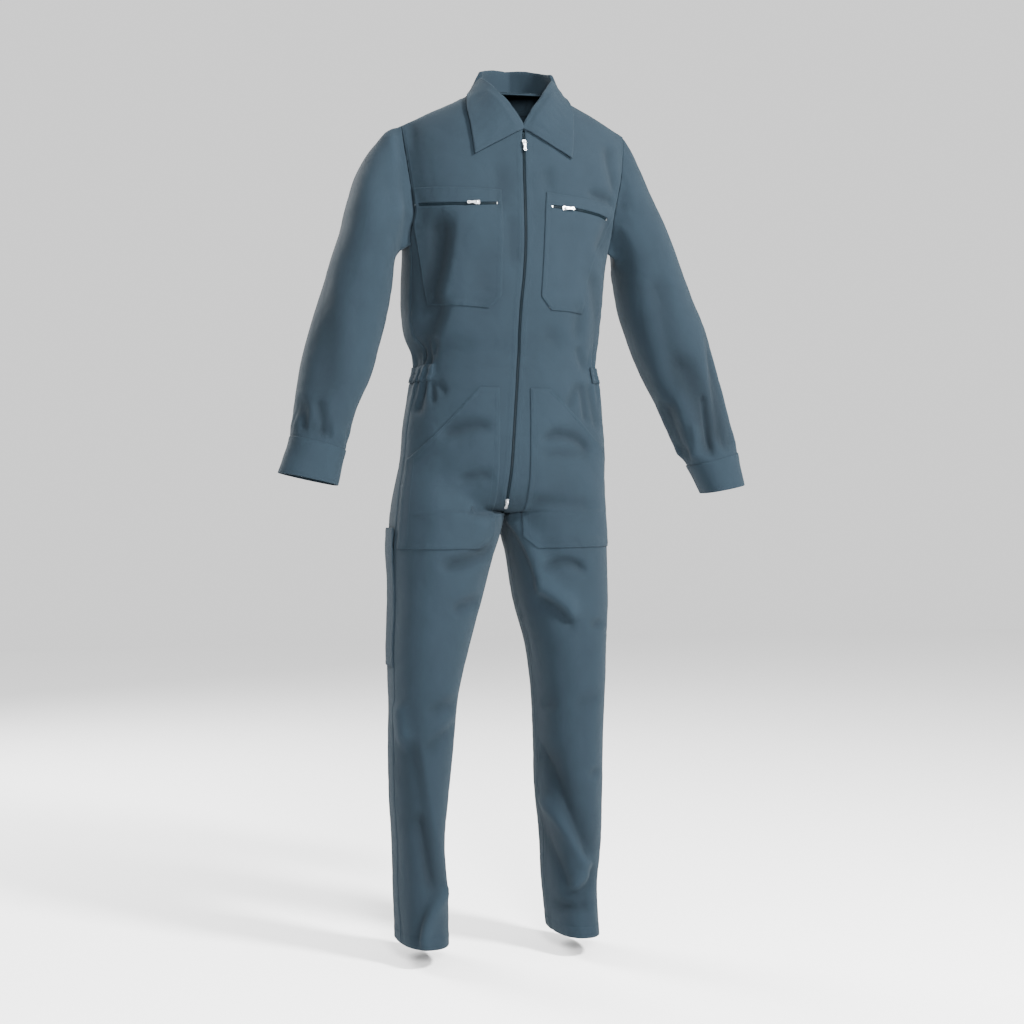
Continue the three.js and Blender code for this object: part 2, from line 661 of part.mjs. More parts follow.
// Back legs, joined at the centre back above the crotch
[RIGHT, LEFT].forEach((side) => {
  const geometry = shellWall(shellOf(side, false), [rowOf(WAIST_SEAM), LAST_ROW, 0, BACK_LAST], -CLOTH, 0, {
    centre: (row) => (row < rowOf(FORK_ROW) ? half : FORK_TRIM),
    first: (j) => inseam(j + rowOf(WAIST_SEAM)),
    last: half,
    top: half,
  });
  add(`back_leg_${sideName(side)}`, geometry, cloth);
});

// Sleeves: rings that start on the armhole and turn into the sleeve's own sections
const SLEEVE_STEPS = [0, 0.5, 1.1, 1.9, 2.9, 4, 5, 5.7, 6.4, 7, 7.6, 8.2, 8.8, 9.4, 10, 10.5, 11];
const ARMHOLE_EASE = 4.2; // steps over which the armhole's own form fades
const ARMHOLE_SEAM = 1.2; // the two walls meet at an angle here and need more room

// The cuffs: where round the wrist the band starts, how far it laps over itself, both in radians,
// the share of its length where it rises onto itself, and the share of its depth left for the seam
const CUFF = {
  start: Math.PI * 1.15, lap: 0.32, lift: 0.9, ramp: 0.06, seam: 0.02, columns: 26, rows: [0, 0.33, 0.67, 1],
};

// A point of the sleeve's own section. angle is 0 at the outer edge, turns over the front.
function sleeveRing(side, at, angle) {
  const middle = vec(side * (at.outerX + at.innerX) / 2, at.y, (at.outerZ + at.innerZ) / 2);
  const across = vec(side * (at.outerX - at.innerX) / 2, 0, (at.outerZ - at.innerZ) / 2);
  const out = middle.addScaledVector(across, signedPower(Math.cos(angle)));
  out.y -= at.depth * signedPower(Math.sin(angle));
  return out;
}

function armholePoint(side, angle) {
  const isFront = angle <= Math.PI;
  const v = (1 - Math.cos(angle)) / 2;
  const stops = [...YOKE_ROWS, 1];
  const k = Math.max(stops.findIndex((stop) => stop >= v - 1e-9), 1);
  const share = (v - stops[k - 1]) / (stops[k] - stops[k - 1]);
  return yokePoint(side, isFront, 1, stops[k - 1]).lerp(yokePoint(side, isFront, 1, stops[k]), share);
}

function sleevePoint(side, step, angle) {
  const { section } = SLEEVES[side];
  const own = sleeveRing(side, section(step), angle);
  const correction = armholePoint(side, angle).sub(sleeveRing(side, section(0), angle));
  return own.addScaledVector(correction, 1 - smooth(step / ARMHOLE_EASE));
}

// Angles round a sleeve: one at every row of the armhole, with the widest steps halved
function sleeveAngles() {
  const widest = Math.PI / 6;
  const corners = [...YOKE_ROWS, 1].map((v) => Math.acos(1 - 2 * v));
  const front = corners.flatMap((angle, i) => {
    const step = angle - (corners[i - 1] ?? angle);
    return step > widest ? [angle - step / 2, angle] : [angle];
  });
  return [...front, ...front.slice(1, -1).reverse().map((angle) => 2 * Math.PI - angle)];
}

// Normals of a grid of closed rings
function ringNormals(grid, outward) {
  const count = grid[0].length;
  return grid.map((row, j) => row.map((point, i) => {
    const [down, up] = [grid[j + 1], grid[j - 1]].map((other) => other && other[i]);
    const [next, before] = [row[(i + 1) % count], row[(i + count - 1) % count]];
    return meanNormal(point, next, down, before, up).multiplyScalar(outward);
  }));
}

function folded(grid, normals) {
  return grid.map((row, j) => row.map((point, i) => (
    point.clone().addScaledVector(normals[j][i], foldsAt(point, normals[j][i])))));
}

[RIGHT, LEFT].forEach((side) => {
  const { section, steps, cuff } = SLEEVES[side];
  const rows = SLEEVE_STEPS.filter((step) => step <= steps);
  const plain = rows.map((step) => sleeveAngles().map((angle) => sleevePoint(side, step, angle)));
  const turn = -side;
  const raised = folded(plain, ringNormals(plain, turn));
  raised[0] = plain[0];
  const first = raised[0].map((point, i) => (
    point.clone().lerp(raised[1][i], ARMHOLE_SEAM / point.distanceTo(raised[1][i]))));
  const grid = [first, ...raised.slice(1)];
  add(`sleeve_${sideName(side)}`, wallGeometry(grid, ringNormals(grid, turn), -CLOTH, 0, {
    closed: true, flip: side === RIGHT,
  }), cloth);

  // Cuff: a band that laps over itself behind the hand
  const top = section(steps);
  const columns = Array.from({ length: CUFF.columns + 1 }, (_, i) => i / CUFF.columns);
  const band = CUFF.rows.map((w) => columns.map((u) => {
    const at = {};
    Object.keys(cuff).forEach((key) => {
      at[key] = mix(top[key], cuff[key], mix(CUFF.seam, 1, w));
    });
    const lift = smooth((u - CUFF.lift) / CUFF.ramp) * (CLOTH + 2 * GAP);
    const angle = CUFF.start + u * (2 * Math.PI + CUFF.lap);
    const middle = vec(side * (at.outerX + at.innerX) / 2, at.y, (at.outerZ + at.innerZ) / 2);
    const point = sleeveRing(side, at, angle);
    const out = point.clone().sub(middle).normalize();
    return point.addScaledVector(out, lift);
  }));
  const cuffWall = wallGeometry(band, normalsOf(band, turn), -CLOTH, 0, { flip: side === RIGHT });
  add(`cuff_${sideName(side)}`, cuffWall, patchCloth);
});

// Waist casing, from front to front round the back
{
  const firstColumn = FRONT_COLUMNS.indexOf(CASING_START);
  const rows = [rowOf(WAIST_TOP), rowOf(WAIST_BOTTOM)];
  const part = (key) => {
    const piece = (side, isFront) => slice(shellOf(side, isFront)[key], rows[0], rows[1],
      isFront ? firstColumn : 0, isFront ? FRONT_LAST : BACK_LAST);
    return piece(RIGHT, true).map((row, j) => [
      ...row,
      ...[...piece(RIGHT, false)[j]].reverse().slice(1),
      ...piece(LEFT, false)[j].slice(1),
      ...[...piece(LEFT, true)[j]].reverse().slice(1),
    ]);
  };
  add('waist_casing', wallGeometry(part('points'), part('normals'), CASING_LIFT, CASING_LIFT + PATCH, {
    flip: true,
  }), patchCloth);
}

// A prism of an outline of x and z corners, from one y to another
function prism(outline, yFrom, yTo) {
  const shape = new THREE.Shape(outline.map(([x, z]) => new THREE.Vector2(x, -z)));
  const turnedUp = new THREE.Matrix4().makeBasis(vec(1, 0, 0), vec(0, 0, -1), vec(0, 1, 0));
  const flat = new THREE.ExtrudeGeometry(shape, { depth: yTo - yFrom, bevelEnabled: false });
  flat.applyMatrix4(turnedUp);
  flat.translate(0, yFrom, 0);
  return toSolid(flat);
}

// The outline of a strip of given width round a line of x and z points
function stripOutline(line, width) {
  const left = [];
  const right = [];
  line.forEach(([x, z], i) => {
    const [x0, z0] = line[Math.max(i - 1, 0)];
    const [x1, z1] = line[Math.min(i + 1, line.length - 1)];
    const length = Math.hypot(x1 - x0, z1 - z0);
    const nx = (-(z1 - z0) / length) * (width / 2);
    const nz = ((x1 - x0) / length) * (width / 2);
    left.push([x + nx, z + nz]);
    right.push([x - nx, z - nz]);
  });
  return [...left, ...right.reverse()];
}

const shortened = (line, by) => line.map(([x, z], i) => {
  if (i > 0 && i < line.length - 1) return [x, z];
  const [nx, nz] = line[i === 0 ? 1 : line.length - 2];
  const length = Math.hypot(nx - x, nz - z);
  return [x + ((nx - x) / length) * by, z + ((nz - z) / length) * by];
});

// A layer laid on a whole shell, from which patches are cut
const layer = (shell, range, from, to, trims) => toSolid(shellWall(shell, range, from, to, trims));
const FRONT_Y = [-220, 10]; // span of a cutter through the front
const BACK_Y = [-20, 220];
const CHEST_END = -432; // rows that the patches' layers end on
const HIP_END = -838;
const RULE_ROWS = [ZIP_BOTTOM, -1072];
const MOUTH = 3.5; // how far the rule pocket's mouth stands open
const patchTrim = { last: half, centre: slot, first: inseam };

[RIGHT, LEFT].forEach((side) => {
  const front = shellOf(side, true);
  const chest = CHEST_POCKETS[side];
  const range = [0, rowOf(CHEST_END), 0, FRONT_LAST];
  const cover = layer(front, range, GAP, GAP + PATCH, patchTrim);
  const mouth = prism(stripOutline(chest.slot, POCKET_SLOT), ...FRONT_Y);
  const chestPocket = cover.intersect(prism(chest.outline, ...FRONT_Y)).subtract(mouth);
  add(`chest_pocket_${sideName(side)}`, fromSolid(chestPocket), patchCloth);
  const chainLine = shortened(chest.slot, (POCKET_SLOT - POCKET_CHAIN) / 2);
  const chain = layer(front, range, GAP, GAP + CHAIN, patchTrim);
  const chestChain = chain.intersect(prism(stripOutline(chainLine, POCKET_CHAIN), ...FRONT_Y));
  add(`chest_chain_${sideName(side)}`, fromSolid(chestChain), chainBlue);
  const hipRange = [rowOf(WAIST_BOTTOM), rowOf(HIP_END), 0, FRONT_LAST];
  const hip = layer(front, hipRange, GAP, GAP + PATCH, patchTrim);
  const hipPocket = hip.intersect(prism(HIP_POCKETS[side], ...FRONT_Y));
  add(`hip_pocket_${sideName(side)}`, fromSolid(hipPocket), patchCloth);
});

// Rule pocket on the back of the right leg, its mouth standing a little open
{
  const back = shellOf(RIGHT, false);
  const range = [rowOf(RULE_ROWS[0]), rowOf(RULE_ROWS[1]), 0, BACK_LAST];
  const open = (j) => MOUTH * smooth(1 - (j - 1) / 4);
  const pocket = layer(back, range, (j) => GAP + open(j), (j) => GAP + PATCH + open(j), { last: half });
  add('rule_pocket', fromSolid(pocket.intersect(prism(RULE_POCKET, ...BACK_Y))), patchCloth);
}

// Zip chain between the fronts
const NECK_ROW = YOKE_ROWS.indexOf(FRONT_NECK_SHARE);
const CHAIN_ENDS = { top: 0.02, bottom: 0.04 }; // shares of the end rows by which the chain is short
const CHAIN_BACK = -CLOTH - 0.2; // the chain is thicker than the cloth on both faces
const CHAIN_FACE = 0.4;
{
  const last = rowOf(ZIP_BOTTOM);
  const halfChain = CHAIN_HALF - GAP;
  const right = shellOf(RIGHT, true);
  const rows = right.points.slice(NECK_ROW, last + 1).map((row) => row[0]);
  rows[0] = rows[0].clone().lerp(rows[1], CHAIN_ENDS.top);
  rows[rows.length - 1] = rows[rows.length - 1].clone().lerp(rows[rows.length - 2], CHAIN_ENDS.bottom);
  const normals = right.normals.slice(NECK_ROW, last + 1).map((row) => [row[0], row[0]]);
  const points = rows.map((point) => [vec(point.x - halfChain, point.y, point.z),
    vec(point.x + halfChain, point.y, point.z)]);
  add('zip_chain', wallGeometry(points, normals, CHAIN_BACK, CHAIN_FACE), chainBlue);
}

// Sliders and pulls, modelled with the pull hanging towards -Z and the cloth behind at +Y
function sliderGeometry() {
  const bodyShape = new THREE.Shape();
  const { width, length, depth } = SLIDER;
  bodyShape.moveTo(-width / 2, length / 2 - 1.5);
  bodyShape.quadraticCurveTo(-width / 2, length / 2, 0, length / 2);
  bodyShape.quadraticCurveTo(width / 2, length / 2, width / 2, length / 2 - 1.5);
  bodyShape.lineTo(width * 0.36, -length / 2);
  bodyShape.lineTo(-width * 0.36, -length / 2);
  const body = new THREE.ExtrudeGeometry(bodyShape, { depth, bevelEnabled: false, curveSegments: 4 });
  body.applyMatrix4(new THREE.Matrix4().makeBasis(vec(1, 0, 0), vec(0, 0, 1), vec(0, -1, 0)));
  const arch = new THREE.Shape();
  arch.moveTo(-BAIL.outer, -1.2);
  arch.absarc(0, 0, BAIL.outer, Math.PI, 0, true);
  arch.lineTo(BAIL.outer, -BAIL.outer - 0.3);
  arch.lineTo(-BAIL.outer, -BAIL.outer - 0.3);
  const eye = new THREE.Path();
  eye.absarc(0, 0, BAIL.hole, 0, 2 * Math.PI);
  arch.holes.push(eye);
  const bail = new THREE.ExtrudeGeometry(arch, { depth: BAIL.width, bevelEnabled: false, curveSegments: 8 });
  bail.applyMatrix4(new THREE.Matrix4().makeBasis(vec(0, 0, 1), vec(0, -1, 0), vec(1, 0, 0)));
  bail.translate(-BAIL.width / 2, -depth - BAIL.outer, 0);
  return fromSolid(toSolid(body).add(toSolid(bail)));
}

function pullGeometry() {
  const { width, length, depth, window: gap, bar, reach } = PULL;
  const tab = new THREE.Shape();
  const w = width / 2;
  tab.moveTo(-w * 0.8, bar);
  tab.lineTo(w * 0.8, bar);
  tab.lineTo(w * 0.9, -reach - 1);
  tab.lineTo(w * 0.62, -length * 0.5);
  tab.absarc(0, -length + w, w, 0, -Math.PI, true);
  tab.lineTo(-w * 0.62, -length * 0.5);
  tab.lineTo(-w * 0.9, -reach - 1);
  const upper = new THREE.Path();
  upper.moveTo(-gap / 2, -bar);
  upper.lineTo(-gap / 2, -reach);
  upper.lineTo(gap / 2, -reach);
  upper.lineTo(gap / 2, -bar);
  const lower = new THREE.Path();
  lower.absarc(0, -length + w, w * 0.5, 0, 2 * Math.PI);
  tab.holes.push(upper, lower);
  const geometry = new THREE.ExtrudeGeometry(tab, { depth, bevelEnabled: false, curveSegments: 5 });
  geometry.applyMatrix4(new THREE.Matrix4().makeBasis(vec(1, 0, 0), vec(0, 0, 1), vec(0, -1, 0)));
  geometry.translate(0, depth / 2, 0);
  return fromSolid(toSolid(geometry));
}

// Places a slider and its pull on the cloth at a point, with the pull pointing down a direction.
function addZipFurniture(names, point, normal, down, standOff) {
  const z = down.clone().negate().addScaledVector(normal, down.dot(normal)).normalize();
  const y = normal.clone().negate();
  const x = y.clone().cross(z);
  const base = point.clone().addScaledVector(normal, standOff);
  const slider = add(names.slider, sliderGeometry(), nickel);
  slider.applyMatrix4(new THREE.Matrix4().makeBasis(x, y, z).setPosition(base));
  const pivot = base.clone().addScaledVector(normal, SLIDER.depth + BAIL.outer);
  const pull = add(names.pull, pullGeometry(), nickel);
  pull.applyMatrix4(new THREE.Matrix4().makeBasis(x, y, z).setPosition(pivot));
  pull.userData = { pivot, axis: x };
}

const centreAt = (z) => {
  const at = shellOf(RIGHT, true).points.findIndex((row) => row[0].z <= z);
  const [above, below] = [shellOf(RIGHT, true).points[at - 1][0], shellOf(RIGHT, true).points[at][0]];
  const point = above.clone().lerp(below, (above.z - z) / (above.z - below.z));
  const along = below.clone().sub(above).normalize();
  return { point, along, normal: vec(0, along.z, -along.y).normalize() };
};
const DOWN = vec(0, 0, -1);
const FRONT_SLIDERS = { top: -107, bottom: -729 }; // heights on the front zip
const FRONT_SLIDER_LIFT = 0.8; // from the cloth to the underside of a front slider
Object.entries(FRONT_SLIDERS).forEach(([end, z]) => {
  const { point, normal } = centreAt(z);
  const names = { slider: `zip_slider_${end}`, pull: `zip_pull_${end}` };
  addZipFurniture(names, point, normal, DOWN, FRONT_SLIDER_LIFT);
});

// The outermost point of the pocket's cloth at x and z, with its normal
function frontAt(side, x, z) {
  const at = TORSO(z);
  const local = side * (x - at.shift);
  const point = torsoPoint(side, angleAt(local, z), z);
  const beside = torsoPoint(side, angleAt(local + 2, z), z);
  const below = torsoPoint(side, angleAt(local, z - 2), z - 2);
  const normal = beside.sub(point).cross(below.sub(point)).multiplyScalar(-side).normalize();
  return { point, normal };
}

[RIGHT, LEFT].forEach((side) => {
  const { slider, pullSide } = CHEST_POCKETS[side];
  const { point, normal } = frontAt(side, slider[0], slider[1]);
  addZipFurniture({
    slider: `chest_slider_${sideName(side)}`,
    pull: `chest_pull_${sideName(side)}`,
  }, point, normal, vec(pullSide, 0, 0), CHEST_SLIDER_LIFT);
});

// Moves a point off the shoulders until it clears them.
function clearOfShoulders(point) {
  const p = point.clone();
  const step = LEAF_CLEARANCE / 6;
  for (let k = 0; k < 200; k += 1) {
    const z = p.z - LEAF_CLEARANCE;
    const section = TORSO(z);
    const local = turned(p.x - section.shift, p.y, z, -section.twist, 0);
    const x = Math.abs(local.x);
    if (z > SHOULDER(x).z) return p;
    const angle = angleAt(x, z);
    const ahead = torsoDepth(section, x, angle, z) - LEAF_CLEARANCE;
    const behind = torsoDepth(section, x, Math.PI - angle, z) + LEAF_CLEARANCE;
    if (local.y < ahead || local.y > behind) return p;
    p.add(vec(0, local.y < SHOULDER_SEAM_Y ? -step : step, step));
  }
  return p;
}

// Collar: one piece, up from the neck seam to the roll line and down again over the shoulders
{
  const seamAt = (side, share) => {
    const v = share < COLLAR_SIDE
      ? BACK_NECK_SHARE * (1 - share / COLLAR_SIDE)
      : FRONT_NECK_SHARE * ((share - COLLAR_SIDE) / (1 - COLLAR_SIDE));
    return yokePoint(side, share >= COLLAR_SIDE, 0, v);
  };
  const middle = vec(TORSO(0).shift, -20, 0);
  const column = (side, share) => {
    const seam = seamAt(side, share);
    const at = COLLAR(share);
    const out = seam.clone().sub(middle).setZ(0).normalize();
    const base = seam.clone().addScaledVector(out, -COLLAR_SEAM.inside).add(vec(0, 0, COLLAR_SEAM.above));
    const roll = base.clone().addScaledVector(out, -at.lean).add(vec(0, 0, at.rise));
    const angle = angleAt(at.edgeX, at.edgeZ);
    const edge = torsoPoint(side, share >= COLLAR_SIDE ? angle : Math.PI - angle, at.edgeZ);
    const over = roll.clone().addScaledVector(out, ROLL / 2).add(vec(0, 0, ROLL / 4));
    const outer = roll.clone().addScaledVector(out, ROLL).add(vec(0, 0, -ROLL / 5));
    const leaf = LEAF_SHARES.map((w) => (
      clearOfShoulders(outer.clone().lerp(edge, w).addScaledVector(out, LEAF_BOW * w * (1 - w)))));
    return [base, base.clone().lerp(roll, 0.55), roll, over, outer, ...leaf];
  };
  const steps = 10;
  const frontEnd = 0.985; // the leaves stop just short of the centre
  const shares = Array.from({ length: steps + 1 }, (_, i) => (i / steps) * frontEnd);
  const columns = [
    ...[...shares].reverse().map((share) => column(RIGHT, share)),
    ...shares.slice(1).map((share) => column(LEFT, share)),
  ];
  const grid = columns[0].map((_, j) => columns.map((points) => points[j]));
  const normals = normalsOf(grid, -1);
  add('collar', wallGeometry(grid, normals, -CLOTH / 2, CLOTH / 2), patchCloth);
}

// Hanger loop of tape inside the back neck
{
  const join = (key) => {
    const [right, left] = [RIGHT, LEFT].map((side) => (
      slice(shellOf(side, false)[key], 0, rowOf(ARMPIT), 0, LOOP.columns)));
    return right.map((row, j) => [...[...row].reverse(), ...left[j].slice(1)]);
  };
  const face = -CLOTH - GAP;
  const inside = wallGeometry(join('points'), join('normals'), face - LOOP.cloth, face, { flip: true });
  const { left, right, top, bottom, tape } = LOOP;
  const outline = [[left, top], [left + tape, top], [left + tape, bottom + tape],
    [right - tape, bottom + tape], [right - tape, top], [right, top], [right, bottom], [left, bottom]];
  add('hanger_loop', fromSolid(toSolid(inside).intersect(prism(outline, 0, BACK_Y[1]))), patchCloth);
}

export default suit;
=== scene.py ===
"""Looks of a long-sleeved boiler suit in its worn form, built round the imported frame.

Lengths in the shape functions are millimetres in the frame's axes: +Z up, front towards -Y, wearer's
right at -X. mesh_object() turns them into metres.
"""
import json
import math
from types import SimpleNamespace

import bpy
import numpy as np
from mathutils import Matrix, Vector

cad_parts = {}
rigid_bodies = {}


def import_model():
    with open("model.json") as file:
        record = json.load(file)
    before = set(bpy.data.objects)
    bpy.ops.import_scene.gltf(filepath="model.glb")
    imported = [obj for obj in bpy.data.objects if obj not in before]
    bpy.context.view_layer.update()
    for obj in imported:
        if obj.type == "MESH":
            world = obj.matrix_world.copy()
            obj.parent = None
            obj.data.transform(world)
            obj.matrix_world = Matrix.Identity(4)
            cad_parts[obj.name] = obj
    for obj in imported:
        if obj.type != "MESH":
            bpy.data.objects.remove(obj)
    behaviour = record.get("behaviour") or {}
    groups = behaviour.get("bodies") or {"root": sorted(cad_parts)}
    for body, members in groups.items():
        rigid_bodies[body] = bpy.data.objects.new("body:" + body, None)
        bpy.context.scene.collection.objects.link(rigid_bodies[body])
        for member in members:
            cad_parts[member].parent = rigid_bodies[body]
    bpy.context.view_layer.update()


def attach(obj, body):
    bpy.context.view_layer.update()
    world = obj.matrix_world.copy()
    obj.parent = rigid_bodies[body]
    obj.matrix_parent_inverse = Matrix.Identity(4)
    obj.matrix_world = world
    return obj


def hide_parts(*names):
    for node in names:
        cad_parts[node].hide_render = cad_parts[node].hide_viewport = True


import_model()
GARMENT = "garment"
MM = 0.001
RIGHT, LEFT = -1, 1

# Cloth and seams
CLOTH = 1.4  # wall of the shell
PATCH = 1.2  # wall of a pocket or casing sewn on top
GAP = 0.3  # clearance at every seam and under every patch
SEAM = GAP / 2

# Heights of the cut
ARMPIT = -285
WAIST_TOP = -493
WAIST_SEAM = -507
WAIST_BOTTOM = -521
CROTCH = -753
HEM = -1508
ZIP_BOTTOM = -739

# Neck and shoulder
NECK_HALF = 76
NECK_FRONT = -86
NECK_BACK = 12
SHOULDER_HALF = 205
SHOULDER_ARCH = 118
SHOULDER_SEAM_Y = -4
FRONT_NECK_SHARE = 0.42
BACK_NECK_SHARE = 0.2
SIDE_JOIN = 0.72

# Body sections
ROUNDNESS = 0.86
SIDE_SEAM = math.radians(76)
FORK_FRONT = -660
FORK_BACK = -610
FORK_SIDE = -640
CHAIN_HALF = 2.6


def table(names, rows):
    """Sections by key, the first column, smooth between the rows."""
    rows = np.array(sorted(map(tuple, rows)), float)
    keys = rows[:, 0]
    last = len(rows) - 1
    steps = np.arange(last + 1)
    before = rows[np.maximum(steps - 1, 0)]
    after = rows[np.minimum(steps + 1, last)]
    slopes = (after - before) / (after[:, :1] - before[:, :1])

    def at(key):
        key = np.clip(np.asarray(key, float), keys[0], keys[-1])
        i = np.clip(np.searchsorted(keys, key, side="right") - 1, 0, last - 1)
        span = (keys[i + 1] - keys[i])[..., None]
        s = (key - keys[i])[..., None] / span
        rise = rows[i + 1] - rows[i]
        m0 = slopes[i] * span
        m1 = slopes[i + 1] * span
        found = rows[i] + s * (m0 + s * (3 * rise - 2 * m0 - m1 + s * (m0 + m1 - 2 * rise)))
        return SimpleNamespace(**{name: found[..., c] for c, name in enumerate(names.split())})

    return at


SHOULDER = table("x z", [
    (0, 66), (40, 34), (76, 0), (120, -23), (160, -43), (205, -67), (245, -96),
])
TORSO = table("z half front back twist shift", [
    (60, 200, 60, 66, -6, 10),
    (0, 208, 72, 86, -6, 6),
    (-86, 212, 90, 108, -4, 0),
    (-150, 208, 107, 120, -4, -3),
    (-220, 198, 119, 126, -2, -8),
    (-285, 187, 124, 124, 0, -13),
    (-340, 185, 124, 117, 1, -18),
    (-390, 183, 121, 108, 0, -20),
    (-440, 177, 113, 97, -1, -19),
    (-471, 166, 106, 90, -3, -14),
    (-502, 162, 105, 92, -4, -14),
    (-530, 170, 107, 106, -5, -14),
    (-590, 180, 111, 122, -6, -17),
    (-666, 185, 111, 131, -8, -18),
    (-716, 188, 107, 131, -9, -21),
    (-753, 191, 103, 127, -9, -22),
])
# z, front, back, then inner and outer of the right leg and of the left
LEG_ROWS = np.array([
    (-640, 108, 130, 19, 208, -19, 162),
    (-753, 103, 127, 19, 218, -19, 170),
    (-790, 100, 119, 28, 221, -13, 173),
    (-824, 97, 113, 39, 223, -4, 174),
    (-911, 91, 104, 64, 222, 11, 176),
    (-997, 86, 97, 88, 224, 34, 172),
    (-1084, 82, 92, 106, 222, 45, 169),
    (-1170, 76, 92, 113, 223, 50, 166),
    (-1256, 69, 95, 122, 220, 53, 168),
    (-1343, 62, 97, 127, 213, 64, 167),
    (-1429, 62, 98, 120, 211, 70, 158),
    (-1508, 74, 96, 122, 208, 78, 158),
])
LEGS = {side: table("z front back inner outer", LEG_ROWS[:, columns])
        for side, columns in ((RIGHT, [0, 1, 2, 3, 4]), (LEFT, [0, 1, 2, 5, 6]))}
ARMHOLE = table("z front back", [
    (-61, 205, 205), (-100, 201, 202), (-150, 194, 196), (-200, 186, 190), (-245, 181, 186),
    (-285, 182, 182),
])
SLEEVE_COLUMNS = "step outer_x outer_z inner_x inner_z depth y"
SLEEVES = {
    RIGHT: SimpleNamespace(
        section=table(SLEEVE_COLUMNS, [
            (0, 206, -62, 199, -285, 62, -2),
            (1, 233, -76, 212, -292, 68, -3),
            (2, 262, -112, 217, -299, 72, -4),
            (3, 287, -162, 219, -307, 74, -5),
            (4, 304, -216, 221, -317, 75, -6),
            (5, 317, -270, 223, -333, 75, -7),
            (6, 341, -342, 229, -378, 73, -9),
            (7, 366, -416, 246, -450, 70, -14),
            (8, 386, -490, 266, -512, 66, -22),
            (9, 398, -556, 295, -576, 59, -32),
            (10, 408, -624, 315, -648, 44, -42),
        ]),
        steps=10,
        cuff=SimpleNamespace(outer_x=430, outer_z=-683, inner_x=328, inner_z=-705, depth=41, y=-50),
    ),
    LEFT: SimpleNamespace(
        section=table(SLEEVE_COLUMNS, [
            (0, 205, -62, 176, -285, 62, -2),
            (1, 222, -88, 189, -292, 68, -3),
            (2, 241, -128, 194, -299, 72, -4),
            (3, 263, -180, 196, -307, 74, -5),
            (4, 284, -230, 198, -318, 75, -6),
            (5, 302, -274, 200, -337, 75, -7),
            (6, 331, -344, 209, -392, 73, -9),
            (7, 361, -414, 231, -460, 70, -14),
            (8, 377, -468, 253, -514, 66, -20),
            (9, 390, -520, 276, -560, 61, -26),
            (10, 407, -594, 303, -626, 52, -36),
            (11, 417, -644, 330, -668, 44, -43),
        ]),
        steps=11,
        cuff=SimpleNamespace(outer_x=428, outer_z=-700, inner_x=352, inner_z=-716, depth=41, y=-50),
    ),
}
COLLAR = table("share rise lean edge_x edge_z", [
    (0, 43, 2, 0, 2),
    (0.12, 41, 3, 34, 0),
    (0.25, 34, 6, 66, -4),
    (0.4, 24, 11, 88, -7),
    (0.55, 17, 12, 96, -38),
    (0.7, 11, 9, 93, -80),
    (0.85, 6, 5, 90, -112),
    (1, 3, 2, 87, -137),
])
COLLAR_SIDE = 0.4
COLLAR_INSIDE = 1
COLLAR_ABOVE = 1.8
ROLL = 5
LEAF_CLEARANCE = 3.6
COLLAR_END = 0.985

